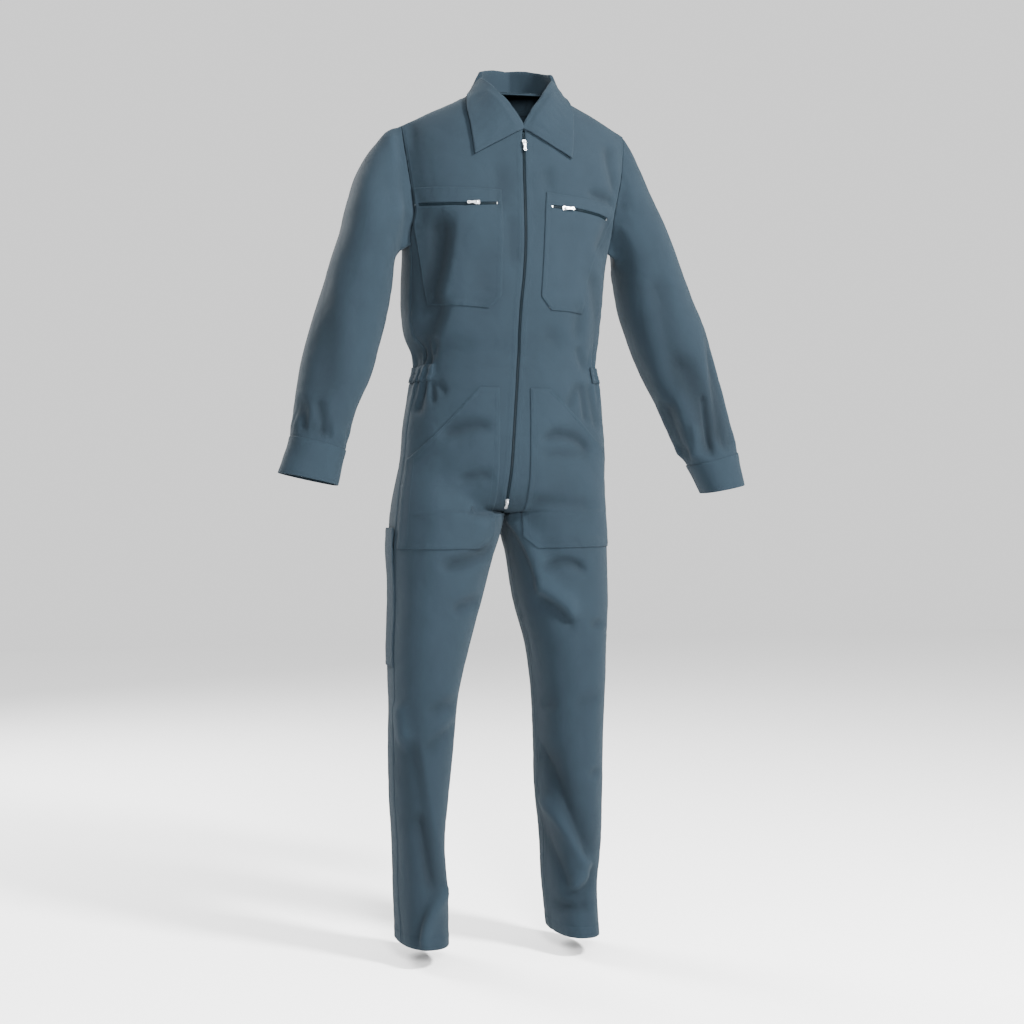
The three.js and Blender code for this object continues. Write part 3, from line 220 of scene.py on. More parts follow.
# Folds seen from the front, in the plane turned to VIEW_TURN: from x0 z0 to x1 z1, bow to the right of
# a line that runs down, widths to its left and right, and rise, below zero for a trough. edge is 1 or
# -1 where the right or left side ends in a sharp crest, 2 where the line itself is a sharp crease.
VIEW_TURN = math.radians(14)
FRONT_FOLDS = np.array([
    # chest, falling away from the pocket edge to the waist
    (-128, -240, -158, -395, 6, 28, 17, -14, 1),
    (-132, -385, -170, -492, 0, 22, 15, -11, 1),
    (-137, -455, -149, -494, 0, 7, 7, -4, 0),
    (-12, -235, -6, -325, 0, 10, 14, -2.5, 0),
    (-35, -144, -29, -224, 4, 14, 18, -3, 0),
    (56, -150, 58, -190, 0, 12, 12, -2.5, 0),
    (172, -96, 197, -187, -8, 12, 10, -5, 0),
    (132, -187, 200, -203, 0, 10, 10, -6, 2),
    (175, -229, 150, -290, 0, 12, 14, -6, 0),
    (118, -393, 112, -445, 0, 12, 10, -4, 0),
    (50, -433, 80, -459, 0, 14, 16, -3, 0),
    (140, -330, 150, -490, 8, 14, 12, -5, 0),
    (112, -462, 127, -498, 0, 8, 8, -4, 0),
    (-60, -300, -70, -420, 8, 26, 26, -3, 0),
    # out of the waist gathers
    (-160, -524, -170, -575, 0, 8, 9, -6, 0),
    (-146, -522, -143, -560, 0, 6, 7, -6, 2),
    (-137, -522, -122, -545, 0, 6, 7, -4, 0),
    (114, -524, 94, -566, 0, 8, 8, -4, 0),
    (121, -524, 129, -590, 0, 7, 8, -5, 0),
    (135, -524, 150, -600, 0, 7, 8, -4, 0),
    # across the hip pockets
    (-128, -615, -46, -601, 3, 11, 15, -7, 0),
    (-96, -696, -44, -686, 0, 9, 12, -5, 0),
    (-76, -752, -32, -755, 0, 9, 10, -5, 0),
    (50, -620, 134, -638, 12, 10, 12, -7, 0),
    (44, -652, 134, -647, 0, 10, 13, -3.5, 0),
    (28, -738, 138, -741, 4, 12, 15, -4, 0),
    # thighs
    (-124, -845, -40, -818, -5, 9, 15, -8, 0),
    (-106, -921, -64, -904, 0, 9, 12, -6, 0),
    (-4, -757, 52, -884, 8, 9, 17, 10, 0),
    (47, -856, 128, -853, 16, 10, 10, -7, 0),
    (44, -884, 108, -935, 6, 9, 20, 8, 0),
    (42, -904, 104, -952, 6, 14, 8, -7, 2),
    (140, -951, 162, -946, 0, 7, 8, -4, 0),
    # knees and shins
    (-148, -1094, -96, -1080, 0, 12, 14, -5, 0),
    (-160, -1163, -100, -1120, 0, 14, 10, -4, 0),
    (-202, -1085, -172, -1280, 0, 14, 12, 6, 0),
    (-188, -1150, -136, -1410, -6, 18, 15, -10, 1),
    (-114, -1404, -160, -1503, -12, 8, 16, 7, 0),
    (-128, -1412, -170, -1503, -12, 12, 8, -6, 2),
    (52, -1097, 74, -1092, 0, 8, 10, -3, 0),
    (112, -1097, 150, -1076, 0, 12, 14, -3, 0),
    (138, -1219, 156, -1210, 0, 8, 9, -4, 0),
    (56, -1180, 138, -1368, -4, 13, 26, -10, 2),
    (48, -1262, 133, -1382, 6, 12, 12, 6, 0),
    (45, -1306, 99, -1420, 0, 12, 16, -7, 2),
    (149, -1386, 96, -1435, 12, 10, 12, -8, 2),
    (105, -1421, 138, -1397, 0, 10, 12, 5, 0),
    (75, -1458, 140, -1451, 0, 11, 14, -8, 2),
    # sleeves
    (-190, -70, -180, -250, -8, 12, 18, -7, 0),
    (-215, -80, -196, -240, 10, 16, 18, 6, 0),
    (-350, -330, -330, -560, 14, 26, 26, -5, 0),
    (-372, -560, -346, -640, 0, 14, 14, -6, 0),
    (372, -420, 392, -640, -4, 14, 20, -9, 0),
    (300, -470, 360, -640, 10, 24, 26, -9, 0),
    (262, -330, 300, -540, 0, 20, 26, -5, 0),
    (274, -556, 312, -680, 0, 12, 14, -9, 1),
    (350, -540, 362, -668, 0, 6, 8, -7, 2),
    (330, -590, 340, -672, 0, 8, 10, 4, 0),
    (-338, -560, -322, -648, 0, 9, 10, -6, 1),
    (-330, -610, -352, -650, 0, 8, 8, -4, 0),
], float)
FRONT_STRENGTH = 1.3

# The same for folds seen straight from behind, with x as in the frame
BACK_FOLDS = np.array([
    (-150, -150, -110, -330, 10, 22, 22, -6, 0),
    (150, -150, 110, -330, -10, 22, 22, -6, 0),
    (-60, -395, -66, -490, 0, 16, 16, 5, 0),
    (60, -395, 66, -490, 0, 16, 16, 5, 0),
    (-96, -420, -104, -492, 0, 10, 10, -5, 0),
    (104, -410, 96, -492, 0, 10, 10, -5, 0),
    (10, -430, 4, -492, 0, 12, 12, -4, 0),
    (-110, -250, -40, -285, 0, 14, 16, -4, 0),
    (110, -245, 50, -290, 0, 14, 16, -4, 0),
    (-20, -760, -120, -830, 10, 22, 22, -8, 0),
    (10, -760, 110, -830, -10, 22, 22, -8, 0),
    (-40, -810, -130, -862, 6, 12, 12, -5, 2),
    (30, -806, 126, -866, -6, 12, 12, -5, 2),
    (-90, -1060, -190, -1085, 8, 20, 20, -8, 0),
    (60, -1060, 160, -1085, 8, 20, 20, -8, 0),
    (-100, -1095, -196, -1130, 10, 10, 10, -6, 2),
    (62, -1098, 158, -1126, 8, 10, 10, -6, 2),
    (-196, -1180, -120, -1215, 6, 14, 14, -5, 0),
    (-120, -1220, -150, -1420, 10, 24, 20, -8, 0),
    (95, -1190, 130, -1420, -10, 24, 20, -8, 0),
    (-200, -1440, -130, -1470, 4, 12, 12, -6, 2),
    (80, -1448, 150, -1465, 4, 12, 12, -6, 2),
    (-300, -180, -360, -470, 12, 26, 26, -6, 0),
    (300, -180, 360, -470, -12, 26, 26, -6, 0),
    (-352, -470, -290, -520, 0, 18, 20, -6, 0),
    (352, -470, 290, -520, 0, 18, 20, -6, 0),
    (-372, -505, -300, -545, 6, 10, 12, -6, 2),
    (372, -500, 300, -540, 6, 10, 12, -6, 2),
], float)

# Shares of a panel's width that place the waist's gathers, one way and the other by turns
FRONT_COLUMNS = (0, 0.12, 0.24, 0.36, 0.48, 0.59, 0.69, 0.78, 0.86, 0.93, 1)
BACK_COLUMNS = (0, 0.12, 0.24, 0.36, 0.48, 0.6, 0.7, 0.8, 0.9, 1)
GATHER_REACH = 62
GATHER_HEIGHT = 3.4
CASING_LIFT = 0.9
CASING_START = 0.78
CASING_STITCHES = (2.0, 14.0)

CHEST_POCKETS = {
    RIGHT: SimpleNamespace(
        left=[(-198, -187), (-196, -235), (-189, -280), (-180, -349), (-172, -392)],
        right=[(-52, -193), (-55, -377), (-75, -399)],
        slot=(-216, -217), sag=-3.5, slot_ends=(0.03, 0.955),
    ),
    LEFT: SimpleNamespace(
        left=[(27, -194), (24, -224), (16, -376), (35, -399)],
        right=[(166, -205), (170, -214), (150, -262), (122, -305), (108, -350), (99, -401)],
        slot=(-219, -231), sag=2.5, slot_ends=(0.07, 0.92),
    ),
}
POCKET_SLOT = 5.2
HIP_POCKETS = {
    RIGHT: SimpleNamespace(left=[(-88, -534), (-206, -666), (-250, -668), (-250, -815)],
                           right=[(-54, -534), (-56, -792), (-83, -814)]),
    LEFT: SimpleNamespace(left=[(0, -535), (-3, -793), (22, -814)],
                          right=[(36, -535), (170, -662), (240, -664), (240, -811)]),
}
RULE_POCKET = SimpleNamespace(left=[(-250, -778), (-250, -1022)],
                              right=[(-96, -778), (-100, -1010), (-110, -1022)], mouth=3.5)
LOOP = SimpleNamespace(left=-13, right=55, top=9, bottom=-18, tape=9, cloth=1,
                       cut=(0.118, 0.010, 0.00118))


# Number helpers
def clamp01(v):
    return np.clip(v, 0, 1)


def smooth(v):
    c = clamp01(v)
    return c * c * (3 - 2 * c)


def mix(a, b, w):
    return a + (b - a) * w


def nearest(values, target):
    return int(np.argmin(np.abs(values - target)))


def bell(v):
    return np.exp(-v ** 2)


def signed_power(v):
    return np.sign(v) * np.abs(v) ** ROUNDNESS


def points_of(x, y, z):
    return np.stack(np.broadcast_arrays(x, y, z), -1)


def unit(v):
    return v / np.maximum(np.linalg.norm(v, axis=-1, keepdims=True), 1e-9)


def lengths(points, axis):
    """Distance along a grid's axis from its start."""
    steps = np.linalg.norm(np.diff(points, axis=axis), axis=-1)
    pad = [(0, 0), (0, 0)]
    pad[axis] = (1, 0)
    return np.cumsum(np.pad(steps, pad), axis=axis)


GRADIENTS = unit(np.random.default_rng(7).normal(size=(256, 3)))
SHUFFLE = np.random.default_rng(11).permutation(256)


def noise(p):
    """Smooth gradient noise of points, about -0.5 to 0.5."""
    cell = np.floor(p).astype(int)
    f = p - cell
    w = f * f * f * (f * (f * 6 - 15) + 10)
    total = 0
    for corner in np.ndindex(2, 2, 2):
        c = np.array(corner)
        h = SHUFFLE[(SHUFFLE[(SHUFFLE[(cell[..., 0] + c[0]) & 255] + cell[..., 1] + c[1]) & 255]
                     + cell[..., 2] + c[2]) & 255]
        share = np.prod(np.where(c == 1, w, 1 - w), axis=-1)
        total = total + share * np.sum(GRADIENTS[h] * (f - c), axis=-1)
    return total


def crumple(p):
    """Slack and rumples of drill cloth, in mm: long soft waves and a few fine creases."""
    long_waves = noise(p / (75, 75, 190)) * 4.5 + noise(p / (38, 38, 80) + 9.1) * 1.7
    warp = np.stack([noise(p / 90 + 3.3), noise(p / 90 + 17.7), noise(p / 90 + 31.1)], -1)
    ridged = 1 - np.abs(noise(p / (55, 55, 48) + warp * 1.5)) * 3.2
    return long_waves + np.maximum(ridged, 0) ** 3 * -0.9 + noise(p / 15) * 0.25


# The smooth form
def turned(x, y, z, twist, shift):
    a = np.radians(twist)
    return points_of(shift + x * np.cos(a) - y * np.sin(a), x * np.sin(a) + y * np.cos(a), z)


def torso_depth(section, x, angle, z):
    ahead = np.cos(angle)
    y = -np.where(ahead > 0, section.front, section.back) * signed_power(ahead)
    below = (SHOULDER(x).z - z) / SHOULDER_ARCH
    arched = mix(SHOULDER_SEAM_Y, y, np.sqrt(1 - (1 - clamp01(below)) ** 2))
    return np.where(below < 1, arched, y)


def torso_point(side, angle, z):
    """A point of the torso, angle 0 at centre front and pi at centre back."""
    s = TORSO(z)
    x = s.half * signed_power(np.sin(angle))
    return turned(side * x, torso_depth(s, x, angle, z), z, s.twist, s.shift)


def leg_point(side, angle, z):
    """A point of a leg, angle 0 inside, over the front, to pi outside and back."""
    s = LEGS[side](z)
    x = (s.outer + s.inner) / 2 - (s.outer - s.inner) / 2 * signed_power(np.cos(angle))
    ahead = np.sin(angle)
    middle = (s.back - s.front) / 2 + 2
    reach = np.where(ahead > 0, s.front + middle, s.back - middle)
    return points_of(side * x, middle - reach * signed_power(ahead), z)


def body_point(side, is_front, t, z):
    """A point below the armpit, t 0 at the centre or inseam and 1 at the side seam."""
    leg_seam = math.pi / 2 + SIDE_SEAM
    torso_angle = t * SIDE_SEAM if is_front else math.pi - t * (math.pi - SIDE_SEAM)
    leg_angle = t * leg_seam if is_front else 2 * math.pi - t * (2 * math.pi - leg_seam)
    start = mix(FORK_FRONT if is_front else FORK_BACK, FORK_SIDE, smooth(t))
    s = clamp01((start - z) / (start - CROTCH))
    sharp = 1 - (1 - s ** 3) ** (1 / 3)
    w = mix(sharp, smooth(s), smooth(t))[..., None]
    return torso_point(side, torso_angle, z) * (1 - w) + leg_point(side, leg_angle, z) * w


def angle_at(x, z):
    return np.arcsin(clamp01(x / TORSO(z).half) ** (1 / ROUNDNESS))


def yoke_point(side, is_front, t, v):
    """A point above the armpit, v 0 at the shoulder seam and 1 at armpit level."""
    neck_z = NECK_FRONT if is_front else NECK_BACK
    share = FRONT_NECK_SHARE if is_front else BACK_NECK_SHARE
    side_angle = SIDE_SEAM if is_front else math.pi - SIDE_SEAM
    t, v = np.broadcast_arrays(np.asarray(t, float), np.asarray(v, float))

    def inner(w):
        a = clamp01(w / share) * math.pi / 2
        cos_a = np.maximum(np.cos(a), 0)
        z = neck_z * (1 - cos_a ** 1.25 if is_front else np.sin(a))
        x = NECK_HALF * (1 - np.sin(a) ** 2.2 if is_front else cos_a)
        neck = w < share
        below = mix(neck_z, ARMPIT, (w - share) / (1 - share))
        return np.where(neck, angle_at(x, z), 0), np.where(neck, z, below)

    def outer(w):
        z = mix(SHOULDER(SHOULDER_HALF).z, ARMPIT, w)
        cut = ARMHOLE(z)
        edge = cut.front if is_front else cut.back
        return mix(angle_at(edge, z), side_angle, smooth((w - SIDE_JOIN) / (1 - SIDE_JOIN))), z

    def top(w):
        x = mix(NECK_HALF, SHOULDER_HALF, w)
        return angle_at(x, SHOULDER(x).z), SHOULDER(x).z

    zero, one = np.zeros_like(t), np.ones_like(t)
    found = []
    for key, bottom in enumerate((t * side_angle, ARMPIT * one)):
        corners = ((1 - v) * mix(top(zero)[key], top(one)[key], t)
                   + v * mix(inner(one)[key], outer(one)[key], t))
        edges = mix(top(t)[key], bottom, v) + mix(inner(v)[key], outer(v)[key], t)
        found.append(edges - corners)
    angle, z = found
    return torso_point(side, angle if is_front else math.pi - angle, z)


# Folds and gathers
def fold_height(fold, x, z):
    x0, z0, x1, z1, bow, left, right, rise, edge = fold
    dx, dz = x1 - x0, z1 - z0
    length = math.hypot(dx, dz)
    along = ((x - x0) * dx + (z - z0) * dz) / length ** 2
    arc = 4 * clamp01(along) * (1 - clamp01(along))
    off = ((x - x0) * dz - (z - z0) * dx) / length + bow * arc
    width = np.where(off < 0, right, left)
    u = np.abs(off) / width
    profile = bell(u)
    if edge == 2:
        profile = 0.35 * profile + 0.65 * np.exp(-1.25 * np.sqrt(u ** 2 + 0.02))
    elif edge:
        crest = clamp01(1.16 - np.sqrt(u ** 2 + 0.06) / 1.5)
        profile = np.where(off * edge < 0, 0.3 * profile + 0.7 * crest, profile)
    run = np.minimum(along, 1 - along) * length
    return rise * profile * smooth((run + width) / (2.2 * width))


def folds_at(p, normal):
    """How far all folds move a point of the smooth form out along its normal."""
    c, s = math.cos(VIEW_TURN), math.sin(VIEW_TURN)
    facing = -(normal[..., 0] * s + normal[..., 1] * c)
    across = p[..., 0] * c - p[..., 1] * s
    z = p[..., 2]
    front = sum(fold_height(fold, across, z) for fold in FRONT_FOLDS) * FRONT_STRENGTH
    back = sum(fold_height(fold, p[..., 0], z) for fold in BACK_FOLDS)
    return front * smooth(facing * 2.2) + back * smooth(normal[..., 1] * 2.2)


def gather(is_front, t, z):
    """Gathers of the elastic waist, deepest at its edges and uneven in reach."""
    columns = FRONT_COLUMNS if is_front else BACK_COLUMNS
    place = np.interp(t, columns, np.arange(len(columns)))
    edge = smooth((t - 0.7) / 0.12) if is_front else 1.0
    pace = 1 + 0.45 * np.sin(place * 2.3 + (1.1 if is_front else 0.4))
    away = np.maximum(np.maximum(z - WAIST_TOP, WAIST_BOTTOM - z), 0) / GATHER_REACH
    wave = 0.3 - 0.7 * np.cos(math.pi * place)
    fine = 0.45 * np.cos(2 * math.pi * (place * 1.0 + 0.15 * np.sin(place * 3.1)))
    return edge * GATHER_HEIGHT * (wave * smooth(1 - away) + fine * smooth(1 - away * 2.4 * pace))


# Rows and columns of the fine grids
EDGE = np.array([0, 0.8, 1.8, 2.8, 5.6, 6.6, 7.6, 9.4])  # mm from a seam, with stitches at 1.8 and 6.6
NEAR_STITCH, FAR_STITCH = 2, 5
COLUMNS_BETWEEN = 50
YOKE_STEPS = 56
ROW_STEP = 5.2
HEM_EDGE = np.array([0, 1.2, 3, 17, 18.4, 19.6, 21])
HEM_STITCH = 4
HEM_FOLD = 19.6
FOLD_FADE = 26  # mm over which folds die out towards a side seam, an armhole or a cuff
SIDE_FADE = 12
SHOULDER_ROWS = 12
LOCATE_STEPS = 7


def body_rows():
    marks = [ARMPIT, WAIST_TOP, WAIST_SEAM, WAIST_BOTTOM, ZIP_BOTTOM, CROTCH, HEM + HEM_EDGE[-1]]
    rows = [ARMPIT]
    for top, bottom in zip(marks, marks[1:]):
        count = max(int(round((top - bottom) / ROW_STEP)), 3)
        rows.extend(np.linspace(top, bottom, count + 1)[1:])
    rows = np.array(rows)
    near_seam = WAIST_SEAM + np.array([-6.6, -5.6, -1.8, -0.8, 0.8, 1.8, 5.6, 6.6])
    rows = rows[(np.abs(rows - WAIST_SEAM) > 7.4) | (rows == WAIST_SEAM)]
    rows = np.concatenate([rows, near_seam, HEM + HEM_EDGE[:-1]])
    return np.sort(np.unique(np.round(rows, 3)))[::-1]


V_ROWS = np.concatenate([[0, 0.004, 0.009, 0.016, 0.026, 0.036], np.linspace(0.05, 1, YOKE_STEPS)[:-1]])
Z_ROWS = body_rows()
YOKE_COUNT = len(V_ROWS)
DENSE = np.linspace(0, 1, 241)


def row_of(z):
    return YOKE_COUNT + nearest(Z_ROWS, z)


def form_at(side, is_front, t):
    """The smooth form, one row of t for each of the grid's rows."""
    top, rest = t[:YOKE_COUNT], t[YOKE_COUNT:]
    yoke = yoke_point(side, is_front, top, np.broadcast_to(V_ROWS[:, None], top.shape))
    body = body_point(side, is_front, rest, np.broadcast_to(Z_ROWS[:, None], rest.shape))
    return np.concatenate([yoke, body])


def centre_gap(is_front):
    """How far each row's first point stays from the centre line: the zip's slot, or half a seam."""
    gap = np.full(YOKE_COUNT + len(Z_ROWS), SEAM)
    if is_front:
        gap[:YOKE_COUNT] = mix(SEAM, CHAIN_HALF, smooth((V_ROWS - FRONT_NECK_SHARE + 0.03) / 0.03))
        gap[YOKE_COUNT:] = mix(CHAIN_HALF, SEAM, smooth((ZIP_BOTTOM + 4 - Z_ROWS) / 8))
    return gap


def columns_for(side, is_front):
    """t of each grid point: fixed distances from both edges, even between them."""
    rows = YOKE_COUNT + len(Z_ROWS)
    dense = form_at(side, is_front, np.broadcast_to(DENSE, (rows, len(DENSE))))
    run = lengths(dense, 1)
    total = run[:, -1:]
    first = centre_gap(is_front)[:, None] + EDGE[None, :]
    last = total - SEAM - EDGE[None, ::-1]
    even = np.linspace(0, 1, COLUMNS_BETWEEN + 2)[1:-1]
    middle = mix(first[:, -1:], last[:, :1], even)
    target = np.concatenate([first, middle, last], axis=1)
    return np.stack([np.interp(target[j], run[j], DENSE) for j in range(rows)])


def mean_normals(points, right, down, left, up):
    arms = [right - points, down - points, left - points, up - points]
    total = sum(unit(np.cross(arms[k], arms[(k + 1) % 4])) for k in range(4))
    return unit(total)


def grid_normals(points, outward, right=None, left=None, up=None):
    """Normals of a grid; right, left and up are the neighbours beyond its edges, if known."""
    after = 2 * points[:, -1] - points[:, -2] if right is None else right
    before = 2 * points[:, 0] - points[:, 1] if left is None else left
    above = 2 * points[0] - points[1] if up is None else up
    below = 2 * points[-1] - points[-2]
    wide = np.concatenate([before[:, None], points, after[:, None]], axis=1)
    tall = np.concatenate([above[None], points, below[None]], axis=0)
    return outward * mean_normals(points, wide[:, 2:], tall[2:], wide[:, :-2], tall[:-2])


def seam_profile(d, welt):
    """Height beside a seam at distance d: a groove, and where the allowance is felled, a flat welt."""
    height = -0.5 * bell(d / 0.9)
    if welt:
        height = height + 0.5 * smooth((9.4 - d) / 1.8)
        for stitch in (EDGE[NEAR_STITCH], EDGE[FAR_STITCH]):
            height = height - 0.32 * bell((d - stitch) / 0.75)
    return height


def pucker(p, d, reach=16.0, height=0.55):
    """Small waves that the stitching draws up beside a seam."""
    return height * bell(d / reach) * noise(p / (9, 9, 9)) * 2


class Sheet:
    """A grid of the cloth's outer face with normals, distances across and how far folds stand out."""

    def __init__(self, points, normals, rise):
        self.points = points
        self.normals = normals
        self.rise = rise
        self.across = lengths(points, 1)

    def part(self, rows):
        return Sheet(self.points[rows], self.normals[rows], self.rise[rows])

    def sample(self, values, r, c):
        rows, columns = self.points.shape[:2]
        r = np.clip(r, 0, rows - 1.0001)
        c = np.clip(c, 0, columns - 1.0001)
        i, j = r.astype(int), c.astype(int)
        a, b = r - i, c - j
        if values.ndim == 3:
            a, b = a[..., None], b[..., None]
        upper = values[i, j] * (1 - b) + values[i, j + 1] * b
        lower = values[i + 1, j] * (1 - b) + values[i + 1, j + 1] * b
        return upper * (1 - a) + lower * a

    def at(self, r, c):
        return self.sample(self.points, r, c), unit(self.sample(self.normals, r, c))

    def locate(self, x, z, facing):
        """Row and column where the sheet, seen along Y, is at x and z."""
        grid = self.points[..., [0, 2]]
        seen = np.argwhere(self.normals[..., 1] * facing > -0.1)
        flat = grid[seen[:, 0], seen[:, 1]]
        target = np.stack([x, z], -1).reshape(-1, 2)
        first = np.concatenate([
            np.argmin(((block[:, None] - flat[None]) ** 2).sum(-1), axis=1)
            for block in np.array_split(target, max(len(target) // 200, 1))])
        r, c = seen[first, 0].astype(float), seen[first, 1].astype(float)
        rows, columns = self.points.shape[:2]
        for _ in range(LOCATE_STEPS):
            here = self.sample(grid, r, c)
            dr = self.sample(grid, r + 0.5, c) - self.sample(grid, r - 0.5, c)
            dc = self.sample(grid, r, c + 0.5) - self.sample(grid, r, c - 0.5)
            miss = target - here
            det = dr[:, 0] * dc[:, 1] - dr[:, 1] * dc[:, 0]
            det = np.where(np.abs(det) < 1e-3, 1e-3, det)
            step_r = (miss[:, 0] * dc[:, 1] - miss[:, 1] * dc[:, 0]) / det
            step_c = (dr[:, 0] * miss[:, 1] - dr[:, 1] * miss[:, 0]) / det
            r = np.clip(r + np.clip(step_r, -2, 2), 0, rows - 1)
            c = np.clip(c + np.clip(step_c, -2, 2), 0, columns - 1)
        return r.reshape(np.shape(x)), c.reshape(np.shape(x))


def body_sheets():
    """The four body sheets, folded, with seams pressed in."""
    keys = [(side, is_front) for side in (RIGHT, LEFT) for is_front in (True, False)]
    t = {key: columns_for(*key) for key in keys}
    plain = {key: form_at(*key, t[key]) for key in keys}
    crotch = row_of(CROTCH)

    def normals_for(grids, key):
        side, is_front = key
        partner = grids[(side, not is_front)]
        mirror = grids[(-side, is_front)]
        points = grids[key]
        right = 2 * points[:, -1] - points[:, -2]
        right[YOKE_COUNT:] = partner[YOKE_COUNT:, -2]
        left = np.where((np.arange(len(points)) < crotch)[:, None], mirror[:, 1], partner[:, 1])
        up = yoke_point(side, not is_front, t[key][0], np.full(t[key].shape[1], V_ROWS[1]))
        normals = grid_normals(points, side * (-1 if is_front else 1), right, left, up)
        normals[crotch, 0] = (0, 0, -1)
        return normals

    smooth_normals = {key: normals_for(plain, key) for key in keys}
    raised, rises = {}, {}
    for key in keys:
        side, is_front = key
        p, n = plain[key], smooth_normals[key]
        run = lengths(p, 1)
        to_side = run[:, -1:] - run
        below_armpit = np.maximum(ARMPIT - p[..., 2], 0)
        fade = smooth(np.hypot(to_side, below_armpit) / FOLD_FADE)
        fade[:YOKE_COUNT] = smooth(to_side[:YOKE_COUNT] / FOLD_FADE)
        rise = folds_at(p, n) + 0.55 * crumple(p)
        gathers = gather(is_front, t[key][YOKE_COUNT:], p[YOKE_COUNT:, :, 2])
        rise[YOKE_COUNT:] += gathers * smooth(to_side[YOKE_COUNT:] / SIDE_FADE)
        rise *= fade
        rises[key] = rise
        raised[key] = p + n * rise[..., None]
    sheets = {}
    for key in keys:
        p = raised[key]
        n = normals_for(raised, key)
        run = lengths(p, 1)
        from_last = run[:, -1:] - run
        down = lengths(p, 0)
        is_front = key[1]
        press = seam_profile(from_last, not is_front) + seam_profile(run, True)
        press += seam_profile(down, not is_front) * (np.arange(len(p)) < SHOULDER_ROWS)[:, None]
        press += pucker(p, np.minimum(run, from_last))
        if not is_front:
            press += seam_profile(np.abs(p[..., 2] - WAIST_SEAM), False)
        hem = np.abs(p[..., 2] - HEM)
        press += 0.6 * smooth((HEM_FOLD - hem) / 1.6) - 0.4 * bell((hem - HEM_EDGE[HEM_STITCH]) / 0.9)
        press += pucker(p, np.abs(hem - 18), 9, 0.5)
        # The rise kept with the sheet, folds and pressed seams together, becomes painted shade in hollows
        # and grooves and painted light on crests
        sheets[key] = Sheet(p + n * press[..., None], n, rises[key] + press)
    return sheets


# Meshes
def link(obj):
    bpy.context.scene.collection.objects.link(obj)
    return obj


def mesh_object(name, points, faces, material, uv=None, rise=None, flat=False):
    """A mesh object from points in mm and faces, with a UV in mm for each face corner."""
    mesh = bpy.data.meshes.new(name)
    mesh.from_pydata((np.asarray(points) * MM).tolist(), [], np.asarray(faces).tolist())
    if uv is not None:
        layer = mesh.uv_layers.new(name="cloth")
        layer.data.foreach_set("uv", (np.asarray(uv) * MM).astype(np.float32).ravel())
    # The rise attribute, the height of folds, seams and turned edges, gives the cloth its painted shade and
    # painted light
    if rise is not None:
        attribute = mesh.attributes.new("rise", "FLOAT", "POINT")
        attribute.data.foreach_set("value", np.asarray(rise, np.float32).ravel())
    mesh.polygons.foreach_set("use_smooth", [not flat] * len(mesh.polygons))
    mesh.materials.append(material)
    return link(bpy.data.objects.new(name, mesh))


def wall_faces(rows, columns, keep=None, closed=False):
    """Quads of a wall whose outer points come first, then the same number of inner points."""
    count = rows * columns
    index = np.arange(count).reshape(rows, columns)
    keep = np.ones((rows - 1, columns - 1), bool) if keep is None else keep
    a, b, c, d = index[:-1, :-1], index[1:, :-1], index[1:, 1:], index[:-1, 1:]
    faces = [np.stack([a[keep], b[keep], c[keep], d[keep]], 1),
             np.stack([a[keep], d[keep], c[keep], b[keep]], 1) + count]
    padded = np.pad(keep, 1)
    borders = [(d, a, padded[:-2, 1:-1]), (b, c, padded[2:, 1:-1])]
    if not closed:
        borders += [(a, b, padded[1:-1, :-2]), (c, d, padded[1:-1, 2:])]
    for p, q, beyond in borders:
        bare = keep & ~beyond
        faces.append(np.stack([q[bare], p[bare], p[bare] + count, q[bare] + count], 1))
    return np.concatenate(faces)


def wall(name, outer, inner, material, rise=None, keep=None, flip=False, closed=False):
    """A closed wall between two grids of points. A closed grid joins its last column to its first."""
    rows, columns = outer.shape[:2]
    rise = np.zeros((rows, columns)) if rise is None else rise
    number = np.arange(rows * columns * 2).reshape(2, rows, columns)
    spread = outer
    if closed:
        number = np.concatenate([number, number[:, :, :1]], axis=2)
        spread = np.concatenate([outer, outer[:, :1]], axis=1)
    flat = np.stack([lengths(spread, 1), -lengths(spread, 0)], -1)
    faces = wall_faces(rows, number.shape[2], keep, closed)
    if flip:
        faces = faces[:, ::-1]
    uv = np.concatenate([flat.reshape(-1, 2)] * 2)[faces]
    faces = number.ravel()[faces]
    used, faces = np.unique(faces, return_inverse=True)
    points = np.concatenate([outer.reshape(-1, 3), inner.reshape(-1, 3)])
    rises = np.concatenate([rise.ravel(), np.zeros(rise.size)])
    return mesh_object(name, points[used], faces.reshape(-1, 4), material, uv.reshape(-1, 2), rises[used])


def sheet_wall(name, sheet, material, flip=False, closed=False):
    inner = sheet.points - sheet.normals * CLOTH
    return wall(name, sheet.points, inner, material, sheet.rise, None, flip, closed)


# Stitches, collected as lines and made into joined meshes
STITCH = SimpleNamespace(pitch=3.3, length=2.5, width=0.5, height=0.34, lift=0.05)
stitch_lines = []


def stitch(points, normals):
    stitch_lines.append((points, normals))


def blocks(centres, along, out, size, taper=0.7):
    """Points and faces of small blocks, tapered towards their tops."""
    along, out = unit(along), unit(out)
    side = unit(np.cross(out, along))
    length, width, height = size
    corners = []
    for level, share in ((-0.35, 1.0), (1.0, taper)):
        for a, b in ((-1, -1), (1, -1), (1, 1), (-1, 1)):
            corners.append(centres + along * (a * length / 2 * share) + side * (b * width / 2 * share)
                           + out * (level * height))
    points = np.stack(corners, 1).reshape(-1, 3)
    one = np.array([(0, 3, 2, 1), (4, 5, 6, 7), (0, 1, 5, 4), (1, 2, 6, 5), (2, 3, 7, 6), (3, 0, 4, 7)])
    faces = (np.arange(len(centres))[:, None, None] * 8 + one[None]).reshape(-1, 4)
    return points, faces


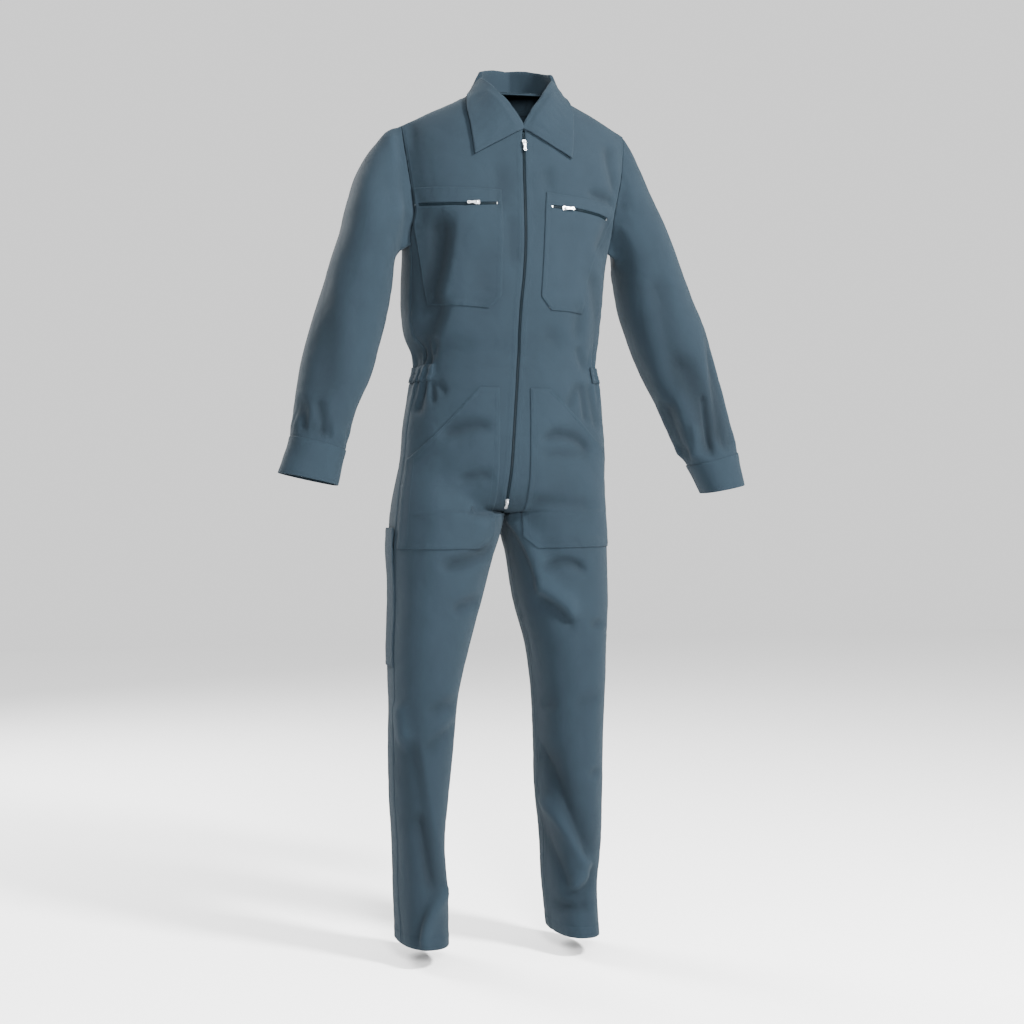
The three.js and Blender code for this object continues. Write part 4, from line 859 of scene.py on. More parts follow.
def along_line(points, values, pitch, start=0.0):
    """Places, tangents and values at even steps along a line."""
    run = np.concatenate([[0], np.cumsum(np.linalg.norm(np.diff(points, axis=0), axis=1))])
    at = np.arange(start + pitch / 2, run[-1] - pitch / 2, pitch)
    found = [np.stack([np.interp(at, run, array[:, k]) for k in range(3)], 1) for array in (points, values)]
    ahead = np.stack([np.interp(at + 0.5, run, points[:, k]) for k in range(3)], 1)
    behind = np.stack([np.interp(at - 0.5, run, points[:, k]) for k in range(3)], 1)
    return found[0], ahead - behind, found[1]


def make_stitches(name, material):
    points, faces, count = [], [], 0
    for line, normals in stitch_lines:
        if len(line) < 2:
            continue
        centres, along, out = along_line(line, normals, STITCH.pitch)
        if not len(centres):
            continue
        centres = centres + unit(out) * STITCH.lift
        p, f = blocks(centres, along, out, (STITCH.length, STITCH.width, STITCH.height))
        points.append(p)
        faces.append(f + count)
        count += len(p)
    return mesh_object(name, np.concatenate(points), np.concatenate(faces), material, flat=True)


# Materials
def shader_nodes(material):
    material.use_nodes = True
    nodes = material.node_tree.nodes
    return nodes, material.node_tree.links, nodes["Principled BSDF"]


def set_inputs(node, values):
    for socket, value in values.items():
        node.inputs[socket].default_value = value
    return node


def bump_node(nodes, links, height, strength, distance):
    node = set_inputs(nodes.new("ShaderNodeBump"), {"Strength": strength, "Distance": distance})
    links.new(height, node.inputs["Height"])
    return node


def cloth_material(name, colour):
    """Matte twill: fine diagonal ribs, slubs, painted shade in fold and seam hollows, painted light on
    crests.
    """
    material = bpy.data.materials.new(name)
    nodes, links, shader = shader_nodes(material)
    set_inputs(shader, {"Roughness": 0.9, "Specular IOR Level": 0.08, "Sheen Weight": 0.03,
                        "Sheen Roughness": 0.55, "Sheen Tint": (0.55, 0.72, 0.85, 1)})
    uv = nodes.new("ShaderNodeUVMap")
    uv.uv_map = "cloth"
    place = nodes.new("ShaderNodeTexCoord")

    def noise_node(scale, detail, vector):
        node = set_inputs(nodes.new("ShaderNodeTexNoise"), {"Scale": scale, "Detail": detail})
        links.new(vector, node.inputs["Vector"])
        return node.outputs["Fac"]

    def ranged(value, low, high, out_low, out_high):
        node = set_inputs(nodes.new("ShaderNodeMapRange"), {
            "From Min": low, "From Max": high, "To Min": out_low, "To Max": out_high})
        links.new(value, node.inputs["Value"])
        return node.outputs["Result"]

    def times(a, b):
        node = nodes.new("ShaderNodeMath")
        node.operation = "MULTIPLY"
        links.new(a, node.inputs[0])
        links.new(b, node.inputs[1])
        return node.outputs[0]

    twill = set_inputs(nodes.new("ShaderNodeTexWave"), {"Scale": 620, "Distortion": 0.6, "Detail": 1})
    twill.bands_direction = "DIAGONAL"
    links.new(uv.outputs["UV"], twill.inputs["Vector"])
    slub = noise_node(900, 2, uv.outputs["UV"])
    mottle = noise_node(26, 4, place.outputs["Object"])
    fade = noise_node(3.5, 2, place.outputs["Object"])
    rise = nodes.new("ShaderNodeAttribute")
    rise.attribute_name = "rise"
    shade = ranged(twill.outputs["Fac"], 0, 1, 0.94, 1.05)
    shade = times(shade, ranged(slub, 0.3, 0.7, 0.93, 1.07))
    shade = times(shade, ranged(mottle, 0.3, 0.7, 0.955, 1.045))
    shade = times(shade, ranged(fade, 0.35, 0.65, 0.965, 1.035))
    # Painted shade and painted light: darker where rise is low, in fold hollows, seam grooves and turned
    # edges, lighter on crests
    shade = times(shade, ranged(rise.outputs["Fac"], -13, 5, 0.55, 1.06))
    tint = nodes.new("ShaderNodeVectorMath")
    tint.operation = "SCALE"
    tint.inputs[0].default_value = colour
    links.new(shade, tint.inputs["Scale"])
    links.new(tint.outputs["Vector"], shader.inputs["Base Color"])
    weave = bump_node(nodes, links, twill.outputs["Fac"], 0.5, 0.00018)
    grain = bump_node(nodes, links, noise_node(160, 3, place.outputs["Object"]), 0.35, 0.0006)
    links.new(weave.outputs["Normal"], grain.inputs["Normal"])
    links.new(grain.outputs["Normal"], shader.inputs["Normal"])
    return material


def plain_material(name, colour, roughness, speckle, metallic=0.0, spread=0.1):
    """A spun, woven or plated surface with slight variation and fine wear."""
    material = bpy.data.materials.new(name)
    nodes, links, shader = shader_nodes(material)
    set_inputs(shader, {"Metallic": metallic, "Specular IOR Level": 0.5 if metallic else 0.06})
    place = nodes.new("ShaderNodeTexCoord")
    grain = set_inputs(nodes.new("ShaderNodeTexNoise"), {"Scale": speckle, "Detail": 4})
    links.new(place.outputs["Object"], grain.inputs["Vector"])
    span = set_inputs(nodes.new("ShaderNodeMapRange"),
                      {"To Min": roughness - spread, "To Max": roughness + spread})
    links.new(grain.outputs["Fac"], span.inputs["Value"])
    links.new(span.outputs["Result"], shader.inputs["Roughness"])
    ramp = nodes.new("ShaderNodeValToRGB")
    for stop, (place_at, factor) in zip(ramp.color_ramp.elements, ((0.3, 0.85), (0.7, 1.12))):
        stop.position = place_at
        stop.color = (*(min(c * factor, 1) for c in colour), 1)
    links.new(grain.outputs["Fac"], ramp.inputs["Fac"])
    links.new(ramp.outputs["Color"], shader.inputs["Base Color"])
    bump = bump_node(nodes, links, grain.outputs["Fac"], 0.3, 0.00012)
    links.new(bump.outputs["Normal"], shader.inputs["Normal"])
    return material


cloth = cloth_material("twill", (0.0082, 0.0142, 0.0200))
thread = plain_material("thread", (0.0135, 0.023, 0.031), 0.8, 1500)
chain_blue = plain_material("zip_teeth", (0.004, 0.008, 0.011), 0.45, 400)
tape_blue = plain_material("zip_tape", (0.0045, 0.0085, 0.012), 0.85, 1200)
nickel = plain_material("nickel", (0.66, 0.68, 0.7), 0.3, 700, 1.0)


def register(obj, nodes=()):
    """Rides on the garment and stands for CAD nodes, which it hides."""
    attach(obj, GARMENT)
    if nodes:
        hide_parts(*nodes)
    return obj


def cloth_piece(obj, node):
    """A piece of the suit's cloth, which stands for one CAD node."""
    register(obj, [node])


def side_name(side):
    return "right" if side == RIGHT else "left"


# Body panels
sheets = body_sheets()
LAST_ROW = YOKE_COUNT + len(Z_ROWS) - 1
CROTCH_ROW = row_of(CROTCH)
ZIP_ROW = row_of(ZIP_BOTTOM)
SEAM_ROW = row_of(WAIST_SEAM)
NECK_ROW = nearest(V_ROWS, FRONT_NECK_SHARE)
LAST_COLUMN = sheets[(RIGHT, True)].points.shape[1] - 1
SIDE_STITCHES = (LAST_COLUMN - NEAR_STITCH, LAST_COLUMN - FAR_STITCH)
SHOULDER_START = 2  # the first row that a side or armhole stitch line uses
hem_row = row_of(HEM + HEM_EDGE[HEM_STITCH])


def body_stitches(sheet, rows, columns):
    for column in columns:
        stitch(sheet.points[rows, column], sheet.normals[rows, column])


for side in (RIGHT, LEFT):
    name = side_name(side)
    front = sheets[(side, True)]
    piece = sheet_wall(f"cloth_front_{name}", front, cloth, flip=side == RIGHT)
    cloth_piece(piece, f"front_{name}")
    body_stitches(front, slice(NECK_ROW + 2, CROTCH_ROW), (FAR_STITCH,))
    for sheet in (front, sheets[(side, False)]):
        stitch(sheet.points[hem_row], sheet.normals[hem_row])
    body_stitches(front, slice(SHOULDER_START, YOKE_COUNT), SIDE_STITCHES)

back_right, back_left = sheets[(RIGHT, False)], sheets[(LEFT, False)]


def joined(key, rows):
    """A value of both back halves, joined at the centre line, from the wearer's right to the left."""
    right, left = (getattr(half, key)[rows] for half in (back_right, back_left))
    return np.concatenate([right[:, :0:-1], (right[:, :1] + left[:, :1]) / 2, left[:, 1:]], axis=1)


above_waist = slice(0, SEAM_ROW + 1)
bodice = Sheet(joined("points", above_waist), unit(joined("normals", above_waist)),
               joined("rise", above_waist))
bodice.points[-1] += (0, 0, SEAM)
piece = sheet_wall("cloth_back_bodice", bodice, cloth, flip=True)
cloth_piece(piece, "back_bodice")

for side, sheet in ((RIGHT, back_right), (LEFT, back_left)):
    name = side_name(side)
    leg = sheet.part(slice(SEAM_ROW, LAST_ROW + 1))
    leg.points[0] -= (0, 0, SEAM)
    piece = sheet_wall(f"cloth_back_leg_{name}", leg, cloth, flip=side == LEFT)
    cloth_piece(piece, f"back_leg_{name}")
    body_stitches(sheet, slice(SEAM_ROW, CROTCH_ROW), (NEAR_STITCH, FAR_STITCH))
    body_stitches(sheet, slice(YOKE_COUNT, LAST_ROW), SIDE_STITCHES)
    body_stitches(sheet, slice(SHOULDER_START, YOKE_COUNT), SIDE_STITCHES)

# Sleeves and cuffs
ARMHOLE_EASE = 4.2
SLEEVE_COLUMN_COUNT = 104
SLEEVE_ROW_STEP = 5.4
RING_SAMPLES = 361
PATH_SAMPLES = 241
PATHS = 12


def sleeve_ring(side, at, angle):
    """A point of a sleeve's own section, angle 0 at the outer edge, over the front to pi inside."""
    reach = signed_power(np.cos(angle))
    x = side * ((at.outer_x + at.inner_x) / 2 + (at.outer_x - at.inner_x) / 2 * reach)
    z = (at.outer_z + at.inner_z) / 2 + (at.outer_z - at.inner_z) / 2 * reach
    return points_of(x, at.y - at.depth * signed_power(np.sin(angle)), z)


def sleeve_point(side, step, angle):
    section = SLEEVES[side].section
    angle = np.mod(angle, 2 * math.pi)
    v = (1 - np.cos(angle)) / 2
    front, back = (yoke_point(side, is_front, 1, v) for is_front in (True, False))
    armhole = np.where((angle <= math.pi)[..., None], front, back)
    own = sleeve_ring(side, section(step), angle)
    correction = armhole - sleeve_ring(side, section(np.zeros_like(step)), angle)
    return own + correction * (1 - smooth(step / ARMHOLE_EASE))[..., None]


def even_ring(points_at, rows, columns):
    """Angles that lie evenly round each ring, from the inner edge round to it again."""
    dense = math.pi + np.linspace(0, 2 * math.pi, RING_SAMPLES)
    run = lengths(points_at(np.broadcast_to(dense, (rows, RING_SAMPLES))), 1)
    shares = np.arange(columns) / columns
    return np.stack([np.interp(shares * run[j, -1], run[j], dense) for j in range(rows)])


def sleeve_sheet(side):
    steps = SLEEVES[side].steps
    dense = np.linspace(0, steps, PATH_SAMPLES)
    angles = np.linspace(0, 2 * math.pi, PATHS + 1)[:-1]
    path = sleeve_point(side, np.repeat(dense[:, None], PATHS, 1), np.repeat(angles[None], PATH_SAMPLES, 0))
    run = lengths(path, 0).mean(axis=1)
    first = SEAM + EDGE
    last = run[-1] - EDGE[:4][::-1]
    middle = np.linspace(first[-1], last[0], int((last[0] - first[-1]) / SLEEVE_ROW_STEP))[1:-1]
    at = np.interp(np.concatenate([first, middle, last]), run, dense)
    rows = len(at)
    steps_at = lambda shape: np.broadcast_to(at[:, None], shape)
    angle = even_ring(lambda a: sleeve_point(side, steps_at(a.shape), a), rows, SLEEVE_COLUMN_COUNT)
    plain = sleeve_point(side, steps_at(angle.shape), angle)

    def normals_of(p):
        return grid_normals(p, side, right=p[:, 0], left=p[:, -1])

    n = normals_of(plain)
    down = lengths(plain, 0)
    to_end = down[-1:] - down
    rise = folds_at(plain, n) + 0.75 * crumple(plain)
    rise += 2.2 * bell((to_end - 26) / 20) * (0.4 + noise(plain / (13, 13, 60)) * 3)
    rise *= smooth(down / FOLD_FADE) * smooth((to_end - 2) / FOLD_FADE)
    raised = plain + n * rise[..., None]
    n = normals_of(raised)
    press = seam_profile(down, False) + seam_profile(to_end, False) + pucker(raised, down, 22, 0.9)
    press += pucker(raised, to_end, 14, 1.0) * smooth((to_end - 2) / 4)
    # The rise, folds and pressed seams together, becomes painted shade in hollows and painted light on
    # crests
    return Sheet(raised + n * press[..., None], n, rise + press)


# The cuff laps a little over the end of the sleeve, from seam, a share of its depth
CUFF = SimpleNamespace(start=math.pi * 1.15, lap=0.32, lift=0.9, ramp=0.06, seam=-0.06, columns=150)


def cuff_sheet(side):
    """A band that laps over itself behind the hand."""
    sleeve = SLEEVES[side]
    top, end = sleeve.section(np.array(float(sleeve.steps))), sleeve.cuff
    span = math.hypot(float(top.outer_x) - end.outer_x, float(top.outer_z) - end.outer_z)
    edges = np.array([0, 0.6, 1.3, 2.2, 4.5]) / span
    w = np.concatenate([edges, np.linspace(edges[-1], 1 - edges[-1], 12)[1:-1], 1 - edges[::-1]])[:, None]
    u = np.linspace(0, 1, CUFF.columns)[None]
    share = mix(CUFF.seam, 1, w)
    at = SimpleNamespace(**{key: mix(float(getattr(top, key)), getattr(end, key), share)
                            for key in vars(end)})
    p = sleeve_ring(side, at, CUFF.start + u * (2 * math.pi + CUFF.lap))
    centre = points_of(side * (at.outer_x + at.inner_x) / 2, at.y, (at.outer_z + at.inner_z) / 2)
    lift = smooth((u - CUFF.lift) / CUFF.ramp) * (CLOTH + 2 * GAP)
    p = p + unit(p - centre) * (lift + mix(2.0, 0.5, smooth(w * 3)))[..., None]
    n = grid_normals(p, side)
    run = np.minimum(w, 1 - w) * span
    wave = noise(p / (28, 28, 28)) * 1.6 * smooth(run / 10)
    press = wave - 0.35 * bell((run - 2.2) / 0.8) - 0.5 * bell(run / 0.7)
    # As rise, press + 1 paints shade in the cuff's grooves and wave hollows and light on its wave crests
    return Sheet(p + n * press[..., None], n, press + 1)


for side in (RIGHT, LEFT):
    name = side_name(side)
    sheet = sleeve_sheet(side)
    piece = sheet_wall(f"cloth_sleeve_{name}", sheet, cloth, flip=side == LEFT, closed=True)
    cloth_piece(piece, f"sleeve_{name}")
    band = cuff_sheet(side)
    piece = sheet_wall(f"cloth_cuff_{name}", band, cloth, flip=side == LEFT)
    cloth_piece(piece, f"cuff_{name}")
    for row in (3, len(band.points) - 4):
        stitch(band.points[row], band.normals[row])
    stitch(band.points[3:-3, -4], band.normals[3:-3, -4])

# Waist casing, from front to front round the back
waist_rows = slice(row_of(WAIST_TOP), row_of(WAIST_BOTTOM) + 1)


def casing_part(side, is_front, key):
    sheet = sheets[(side, is_front)]
    start = 0
    if is_front:
        run = sheet.across[SEAM_ROW]
        start = nearest(run, CASING_START * run[-1])
    return getattr(sheet, key)[waist_rows, start:]


def casing_ring(key):
    return np.concatenate([
        casing_part(RIGHT, True, key), casing_part(RIGHT, False, key)[:, ::-1][:, 1:],
        casing_part(LEFT, False, key)[:, 1:], casing_part(LEFT, True, key)[:, ::-1][:, 1:],
    ], axis=1)


def refined(grid):
    """Twice as many columns, half of them between their neighbours."""
    out = np.empty((grid.shape[0], grid.shape[1] * 2 - 1, grid.shape[2]))
    out[:, ::2] = grid
    out[:, 1::2] = (grid[:, 1:] + grid[:, :-1]) / 2
    return out


base, base_normals = refined(casing_ring("points")), unit(refined(casing_ring("normals")))
top_to_bottom = lengths(base, 0)
edge = np.minimum(top_to_bottom, top_to_bottom[-1:] - top_to_bottom)
run = lengths(base, 1)
ripple = np.cos(run / 7.2 * 2 * math.pi + noise(base / (30, 30, 200)) * 9) * 0.55
ripple += noise(base / (9, 9, 14)) * 0.9
height = CASING_LIFT + PATCH + 0.7 + ripple * smooth(edge / 5) - 0.7 * bell(edge / 1.4)
height -= 0.5 * bell((edge - 6.0) / 1.2)
outer = base + base_normals * height[..., None]
# Its rise, height - 1.5, paints shade in the ripples' hollows and along the edges and light on the ripples'
# crests
piece = wall("cloth_waist_casing", outer, outer - base_normals * PATCH, cloth, height - 1.5, flip=True)
cloth_piece(piece, "waist_casing")
depths = top_to_bottom[:, 0]
stitch_rows = [nearest(depths, d) for d in CASING_STITCHES]
stitch_rows.append(len(outer) - 1 - nearest(depths[-1] - depths[::-1], CASING_STITCHES[0]))
for row in stitch_rows:
    stitch(outer[row], base_normals[row])


# Patches laid on the cloth, and zips
CHEST_TEETH = SimpleNamespace(pitch=1.9, size=(3.2, 1.15, 0.95), stagger=0.45, lift=GAP + 0.7)
FRONT_TEETH = SimpleNamespace(pitch=1.25, size=(3.1, 0.95, 1.25), stagger=0.75, lift=-0.9, start=3)
END_STOP = SimpleNamespace(size=(4.2, 1.7, 1.0), lift=GAP + 0.9)
TAPE = 0.5
SEAM_INSET = 1.5  # how far a patch stays from the side seam


def small_parts(name, slot, material, *shape):
    """One piece of blocks from their centres, directions, outward directions, size and taper."""
    points, faces = blocks(*shape)
    register(mesh_object(name, points, faces, material, flat=True))


def teeth(name, kind, middle, sideways, out, taper):
    """Zip teeth along a line, turned across it and set off to its two sides by turns."""
    shift = np.where(np.arange(len(middle)) % 2, kind.stagger, -kind.stagger)[:, None]
    centres = middle + sideways * shift + unit(out) * kind.lift
    small_parts(name, "zip_chain", chain_blue, centres, sideways, out, kind.size, taper)


def chain_x(chain, z):
    """x of an outline's side at heights z."""
    corners = np.array(sorted(chain, key=lambda corner: corner[1]), float)
    return np.interp(z, corners[:, 1], corners[:, 0])


def patch_grid(sheet, side, facing, left, right, slot_line=None, spacing=3.0):
    """Places x and z of a grid between an outline's two sides, kept on the sheet."""
    wide = max(abs(r[0] - l[0]) for l in left for r in right)
    columns = int(min(wide, 160) / spacing) + 2
    u = np.concatenate([[0, 0.008, 0.02], np.linspace(0.04, 0.96, columns), [0.98, 0.992, 1]])
    top = mix(left[0][1], right[0][1], u)
    bottom = mix(left[-1][1], right[-1][1], u)
    tall = float(np.mean(top - bottom))
    edge_rows = np.array([0, 1.1, 2.4]) / tall

    def between(low, high):
        return np.linspace(low, high, max(int((high - low) * tall / spacing), 2) + 1)

    if slot_line is None:
        s = np.concatenate([edge_rows, between(3.8 / tall, 1 - 3.8 / tall), 1 - edge_rows[::-1]])
        z = top[None] + (bottom - top)[None] * s[:, None]
        slot_rows = None
    else:
        (z0, z1), sag = slot_line
        middle = mix(z0, z1, u) + sag * 4 * u * (1 - u)
        upper, lower = middle + POCKET_SLOT / 2, middle - POCKET_SLOT / 2
        over = np.concatenate([edge_rows * 6, np.linspace(0.6, 1, 6)])
        under = np.concatenate([[0, 0.006, 0.016], np.linspace(0.03, 0.98, int(tall * 0.85 / spacing)),
                                [0.988, 0.994, 1]])
        z = np.concatenate([top + (upper - top) * over[:, None], lower + (bottom - lower) * under[:, None]])
        slot_rows = len(over) - 1
    seam_z, seam_x = sheet.points[::-1, -1, 2], sheet.points[::-1, -1, 0]
    inside = np.interp(z, seam_z, seam_x)
    x_left, x_right = chain_x(left, z), chain_x(right, z)
    if side == RIGHT:
        x_left = np.maximum(x_left, inside + SEAM_INSET)
    else:
        x_right = np.minimum(x_right, inside - SEAM_INSET)
    x = mix(x_left, x_right, u)
    r, c = sheet.locate(x, z, facing)
    points, normals = sheet.at(r, c)
    return SimpleNamespace(points=points, normals=normals, u=u, slot_rows=slot_rows,
                           rise=sheet.sample(sheet.rise, r, c))


def patch(name, node, grid, keep=None, extra=0.0, flip=False, stitches=()):
    """A patch of cloth on its grid, its edges turned under."""
    p, n = grid.points, grid.normals
    across, down = lengths(p, 1), lengths(p, 0)
    edge = np.minimum(np.minimum(across, across[:, -1:] - across), np.minimum(down, down[-1:] - down))
    height = GAP + PATCH + 0.25 - 0.8 * bell(edge / 0.9) + 0.45 * smooth((8.5 - edge) / 1.5)
    height = height - 0.3 * bell((edge - 2.4) / 0.8) + pucker(p, edge, 12, 0.5)
    height = np.maximum(height + 0.7 * smooth(edge / 30) * (1 + noise(p / 22)) + extra, GAP + 0.4)
    outer = p + n * height[..., None]
    inner = outer - n * PATCH * 0.9
    # Its rise, the folds beneath plus height - 1.5, paints the folds' shade and light on the patch and
    # shade along its turned edges
    obj = wall(name, outer, inner, cloth, grid.rise + height - 1.5, keep, flip)
    cloth_piece(obj, node)
    for line in stitches:
        stitch(outer[line], n[line])
    return outer


for side in (RIGHT, LEFT):
    name = side_name(side)
    front = sheets[(side, True)]
    form = CHEST_POCKETS[side]
    grid = patch_grid(front, side, -1, form.left, form.right, (form.slot, form.sag))
    rows, columns = grid.points.shape[:2]
    keep = np.ones((rows - 1, columns - 1), bool)
    low, high = form.slot_ends
    open_columns = (grid.u[:-1] >= low - 1e-6) & (grid.u[1:] <= high + 1e-6)
    keep[grid.slot_rows, open_columns] = False
    # Stitch lines run just inside the edges, and above and below the slot
    lines = [np.s_[2:-2, 2], np.s_[2:-2, -3], np.s_[2, 2:-2], np.s_[-3, 2:-2],
             np.s_[grid.slot_rows - 1, 2:-2], np.s_[grid.slot_rows + 3, 2:-2]]
    patch(f"cloth_chest_pocket_{name}", f"chest_pocket_{name}", grid, keep, stitches=lines)
    # Zip in the slot: a woven tape with teeth on it
    u = np.linspace(low + 0.008, high - 0.008, 60)
    z = mix(*form.slot, u) + form.sag * 4 * u * (1 - u)
    x = mix(chain_x(form.left, z), chain_x(form.right, z), u)
    r, c = front.locate(np.stack([x, x, x]), np.stack([z + 2.2, z, z - 2.2]), -1)
    points, normals = front.at(r, c)
    tape = points + normals * (GAP + TAPE)
    obj = wall(f"tape_chest_{name}", tape, points + normals * GAP, tape_blue)
    register(obj, [f"chest_chain_{name}"])
    middle, along, out = along_line(points[1], normals[1], CHEST_TEETH.pitch)
    sideways = np.cross(unit(along), unit(out))
    teeth(f"teeth_chest_{name}", CHEST_TEETH, middle, sideways, out, 0.7)
    ends = [0, -1]
    small_parts(f"stops_chest_{name}", "zip_metal", nickel, middle[ends] + unit(out[ends]) * END_STOP.lift,
                sideways[ends], out[ends], END_STOP.size)

    form = HIP_POCKETS[side]
    grid = patch_grid(front, side, -1, form.left, form.right)
    lines = [np.s_[2:-2, 2], np.s_[2:-2, -3], np.s_[2:-2, 5], np.s_[2:-2, -6], np.s_[-3, 2:-2]]
    patch(f"cloth_hip_pocket_{name}", f"hip_pocket_{name}", grid, stitches=lines)

z = np.concatenate([[0, 1.1, 2.4], np.linspace(4, 240, 78), [241.6, 242.9, 244]])
z = RULE_POCKET.left[0][1] - z
r = YOKE_COUNT + np.interp(-z, -Z_ROWS, np.arange(len(Z_ROWS)))
_, inner_column = back_right.locate(chain_x(RULE_POCKET.right, z), z, 1)
u = np.concatenate([[0, 0.008, 0.016], np.linspace(0.03, 0.97, 48), [0.984, 0.992, 1]])
c = mix(LAST_COLUMN - 1.5, inner_column[:, None], u)
r = np.broadcast_to(r[:, None], c.shape)
points, normals = back_right.at(r, c)
grid = SimpleNamespace(points=points, normals=normals, rise=back_right.sample(back_right.rise, r, c))
depth_down = lengths(grid.points, 0)
mouth = RULE_POCKET.mouth * smooth(1 - depth_down / 110)
patch("cloth_rule_pocket", "rule_pocket", grid, None, mouth, True,
      [np.s_[2:-2, 2], np.s_[2:-2, -3], np.s_[2, 2:-2], np.s_[-3, 2:-2]])

# Front zip: woven tape behind the fronts' edges, and teeth between them
front_right, front_left = sheets[(RIGHT, True)], sheets[(LEFT, True)]
zip_rows = slice(NECK_ROW, ZIP_ROW + 1)
right_edge, left_edge = front_right.points[zip_rows], front_left.points[zip_rows]
zip_out = unit(front_right.normals[zip_rows, 0] + front_left.normals[zip_rows, 0])
behind = CLOTH + 0.35
centre_line = (right_edge[:, 0] + left_edge[:, 0]) / 2
tape = np.stack([
    right_edge[:, 4] - front_right.normals[zip_rows, 4] * behind,
    right_edge[:, 0] - front_right.normals[zip_rows, 0] * behind,
    centre_line - zip_out * behind,
    left_edge[:, 0] - front_left.normals[zip_rows, 0] * behind,
    left_edge[:, 4] - front_left.normals[zip_rows, 4] * behind,
], axis=1)
obj = wall("tape_front", tape, tape - zip_out[:, None] * TAPE, tape_blue)
register(obj, ["zip_chain"])
middle, along, out = along_line(centre_line, zip_out, FRONT_TEETH.pitch, FRONT_TEETH.start)
teeth("teeth_front", FRONT_TEETH, middle, unit(np.cross(unit(along), unit(out))), out, 0.8)

# Collar
COLLAR_THICK = 2.2
LEAF_BOW = 8
HALF_COLUMNS = 72
COLLAR_ROWS = 46
LEAF_ROW = 26
STITCH_INSET = 5.2
STITCH_TOP = 24


def collar_columns(side, shares):
    """Control points from the neck seam up to the roll and down to the leaf's edge, one row a share."""
    v = np.where(shares < COLLAR_SIDE, BACK_NECK_SHARE * (1 - shares / COLLAR_SIDE),
                 FRONT_NECK_SHARE * ((shares - COLLAR_SIDE) / (1 - COLLAR_SIDE)))
    is_front = (shares >= COLLAR_SIDE)[:, None]
    zero = np.zeros_like(shares)
    seam = np.where(is_front, yoke_point(side, True, zero, v), yoke_point(side, False, zero, v))
    at = COLLAR(shares)
    up = np.array([0, 0, 1.0])
    out = unit((seam - (float(TORSO(0).shift), -20, 0)) * (1, 1, 0))
    base_line = seam - out * COLLAR_INSIDE + up * COLLAR_ABOVE
    roll = base_line - out * at.lean[:, None] + up * at.rise[:, None]
    angle = angle_at(at.edge_x, at.edge_z)
    leaf_edge = np.where(is_front, torso_point(side, angle, at.edge_z),
                         torso_point(side, math.pi - angle, at.edge_z))
    over = roll + out * ROLL / 2 + up * ROLL / 4
    outer_line = roll + out * ROLL - up * ROLL / 5
    leaf = [outer_line + (leaf_edge - outer_line) * w + out * LEAF_BOW * w * (1 - w)
            for w in (0.22, 0.45, 0.7, 1)]
    return np.stack([base_line, mix(base_line, roll, 0.55), roll, over, outer_line, *leaf], 1)


def clear_of_shoulders(points):
    """Moves points off the shoulders until they clear them."""
    p = points.copy()
    step = LEAF_CLEARANCE / 6
    for _ in range(200):
        z = p[..., 2] - LEAF_CLEARANCE
        section = TORSO(z)
        local = turned(p[..., 0] - section.shift, p[..., 1], z, -section.twist, 0)
        x = np.abs(local[..., 0])
        angle = angle_at(x, z)
        ahead = torso_depth(section, x, angle, z) - LEAF_CLEARANCE
        behind_them = torso_depth(section, x, math.pi - angle, z) + LEAF_CLEARANCE
        y = local[..., 1]
        inside = (z <= SHOULDER(x).z) & (y >= ahead) & (y <= behind_them)
        if not inside.any():
            break
        push = np.where(y < SHOULDER_SEAM_Y, -step, step)
        p = p + points_of(0 * push, push, step) * inside[..., None]
    return p


def curved(controls, count):
    """Points along a smooth line through control points."""
    spans = controls.shape[1] - 1
    at = np.linspace(0, spans, count)
    i = np.minimum(at.astype(int), spans - 1)
    s = (at - i)[None, :, None]
    take = lambda k: controls[:, np.clip(i + k, 0, spans)]
    p0, p1, p2, p3 = take(-1), take(0), take(1), take(2)
    return 0.5 * (2 * p1 + (p2 - p0) * s + (2 * p0 - 5 * p1 + 4 * p2 - p3) * s ** 2
                  + (3 * p1 - p0 - 3 * p2 + p3) * s ** 3)


half_shares = np.linspace(0, COLLAR_END, HALF_COLUMNS)
halves = {side: collar_columns(side, half_shares) for side in (RIGHT, LEFT)}
controls = np.concatenate([halves[RIGHT][::-1], halves[LEFT][1:]])
controls[:, 5:] = clear_of_shoulders(controls[:, 5:])
collar = curved(controls, COLLAR_ROWS).transpose(1, 0, 2)
collar[LEAF_ROW:] = clear_of_shoulders(collar[LEAF_ROW:])
n = grid_normals(collar, -1)
run_down = lengths(collar, 0)
run_across = lengths(collar, 1)
edge = np.minimum(run_down[-1:] - run_down, np.minimum(run_across, run_across[:, -1:] - run_across))
wave = noise(collar / 34) * 2.4 * smooth(edge / 14) * smooth(run_down / 12)
wave += noise(collar / 11) * 0.5
collar = collar + n * (wave + 0.2)[..., None]
n = grid_normals(collar, -1)
thick = COLLAR_THICK / 2 * np.sqrt(clamp01(0.3 + edge / 2.0)) - 0.3 * bell((edge - STITCH_INSET) / 0.9)
outer = collar + n * thick[..., None]
inner = collar - n * thick[..., None]
# The wave serves as rise: painted shade in its hollows and painted light on its crests
piece = wall("cloth_collar", outer, inner, cloth, wave)
cloth_piece(piece, "collar")
last = nearest(run_down[-1:, HALF_COLUMNS] - run_down[:, HALF_COLUMNS], STITCH_INSET)
stitch(outer[last, 3:-3], n[last, 3:-3])
leaf_run = run_across[30]
for column in (nearest(leaf_run, STITCH_INSET), nearest(leaf_run[-1] - leaf_run, STITCH_INSET)):
    stitch(outer[STITCH_TOP:last, column], n[STITCH_TOP:last, column])

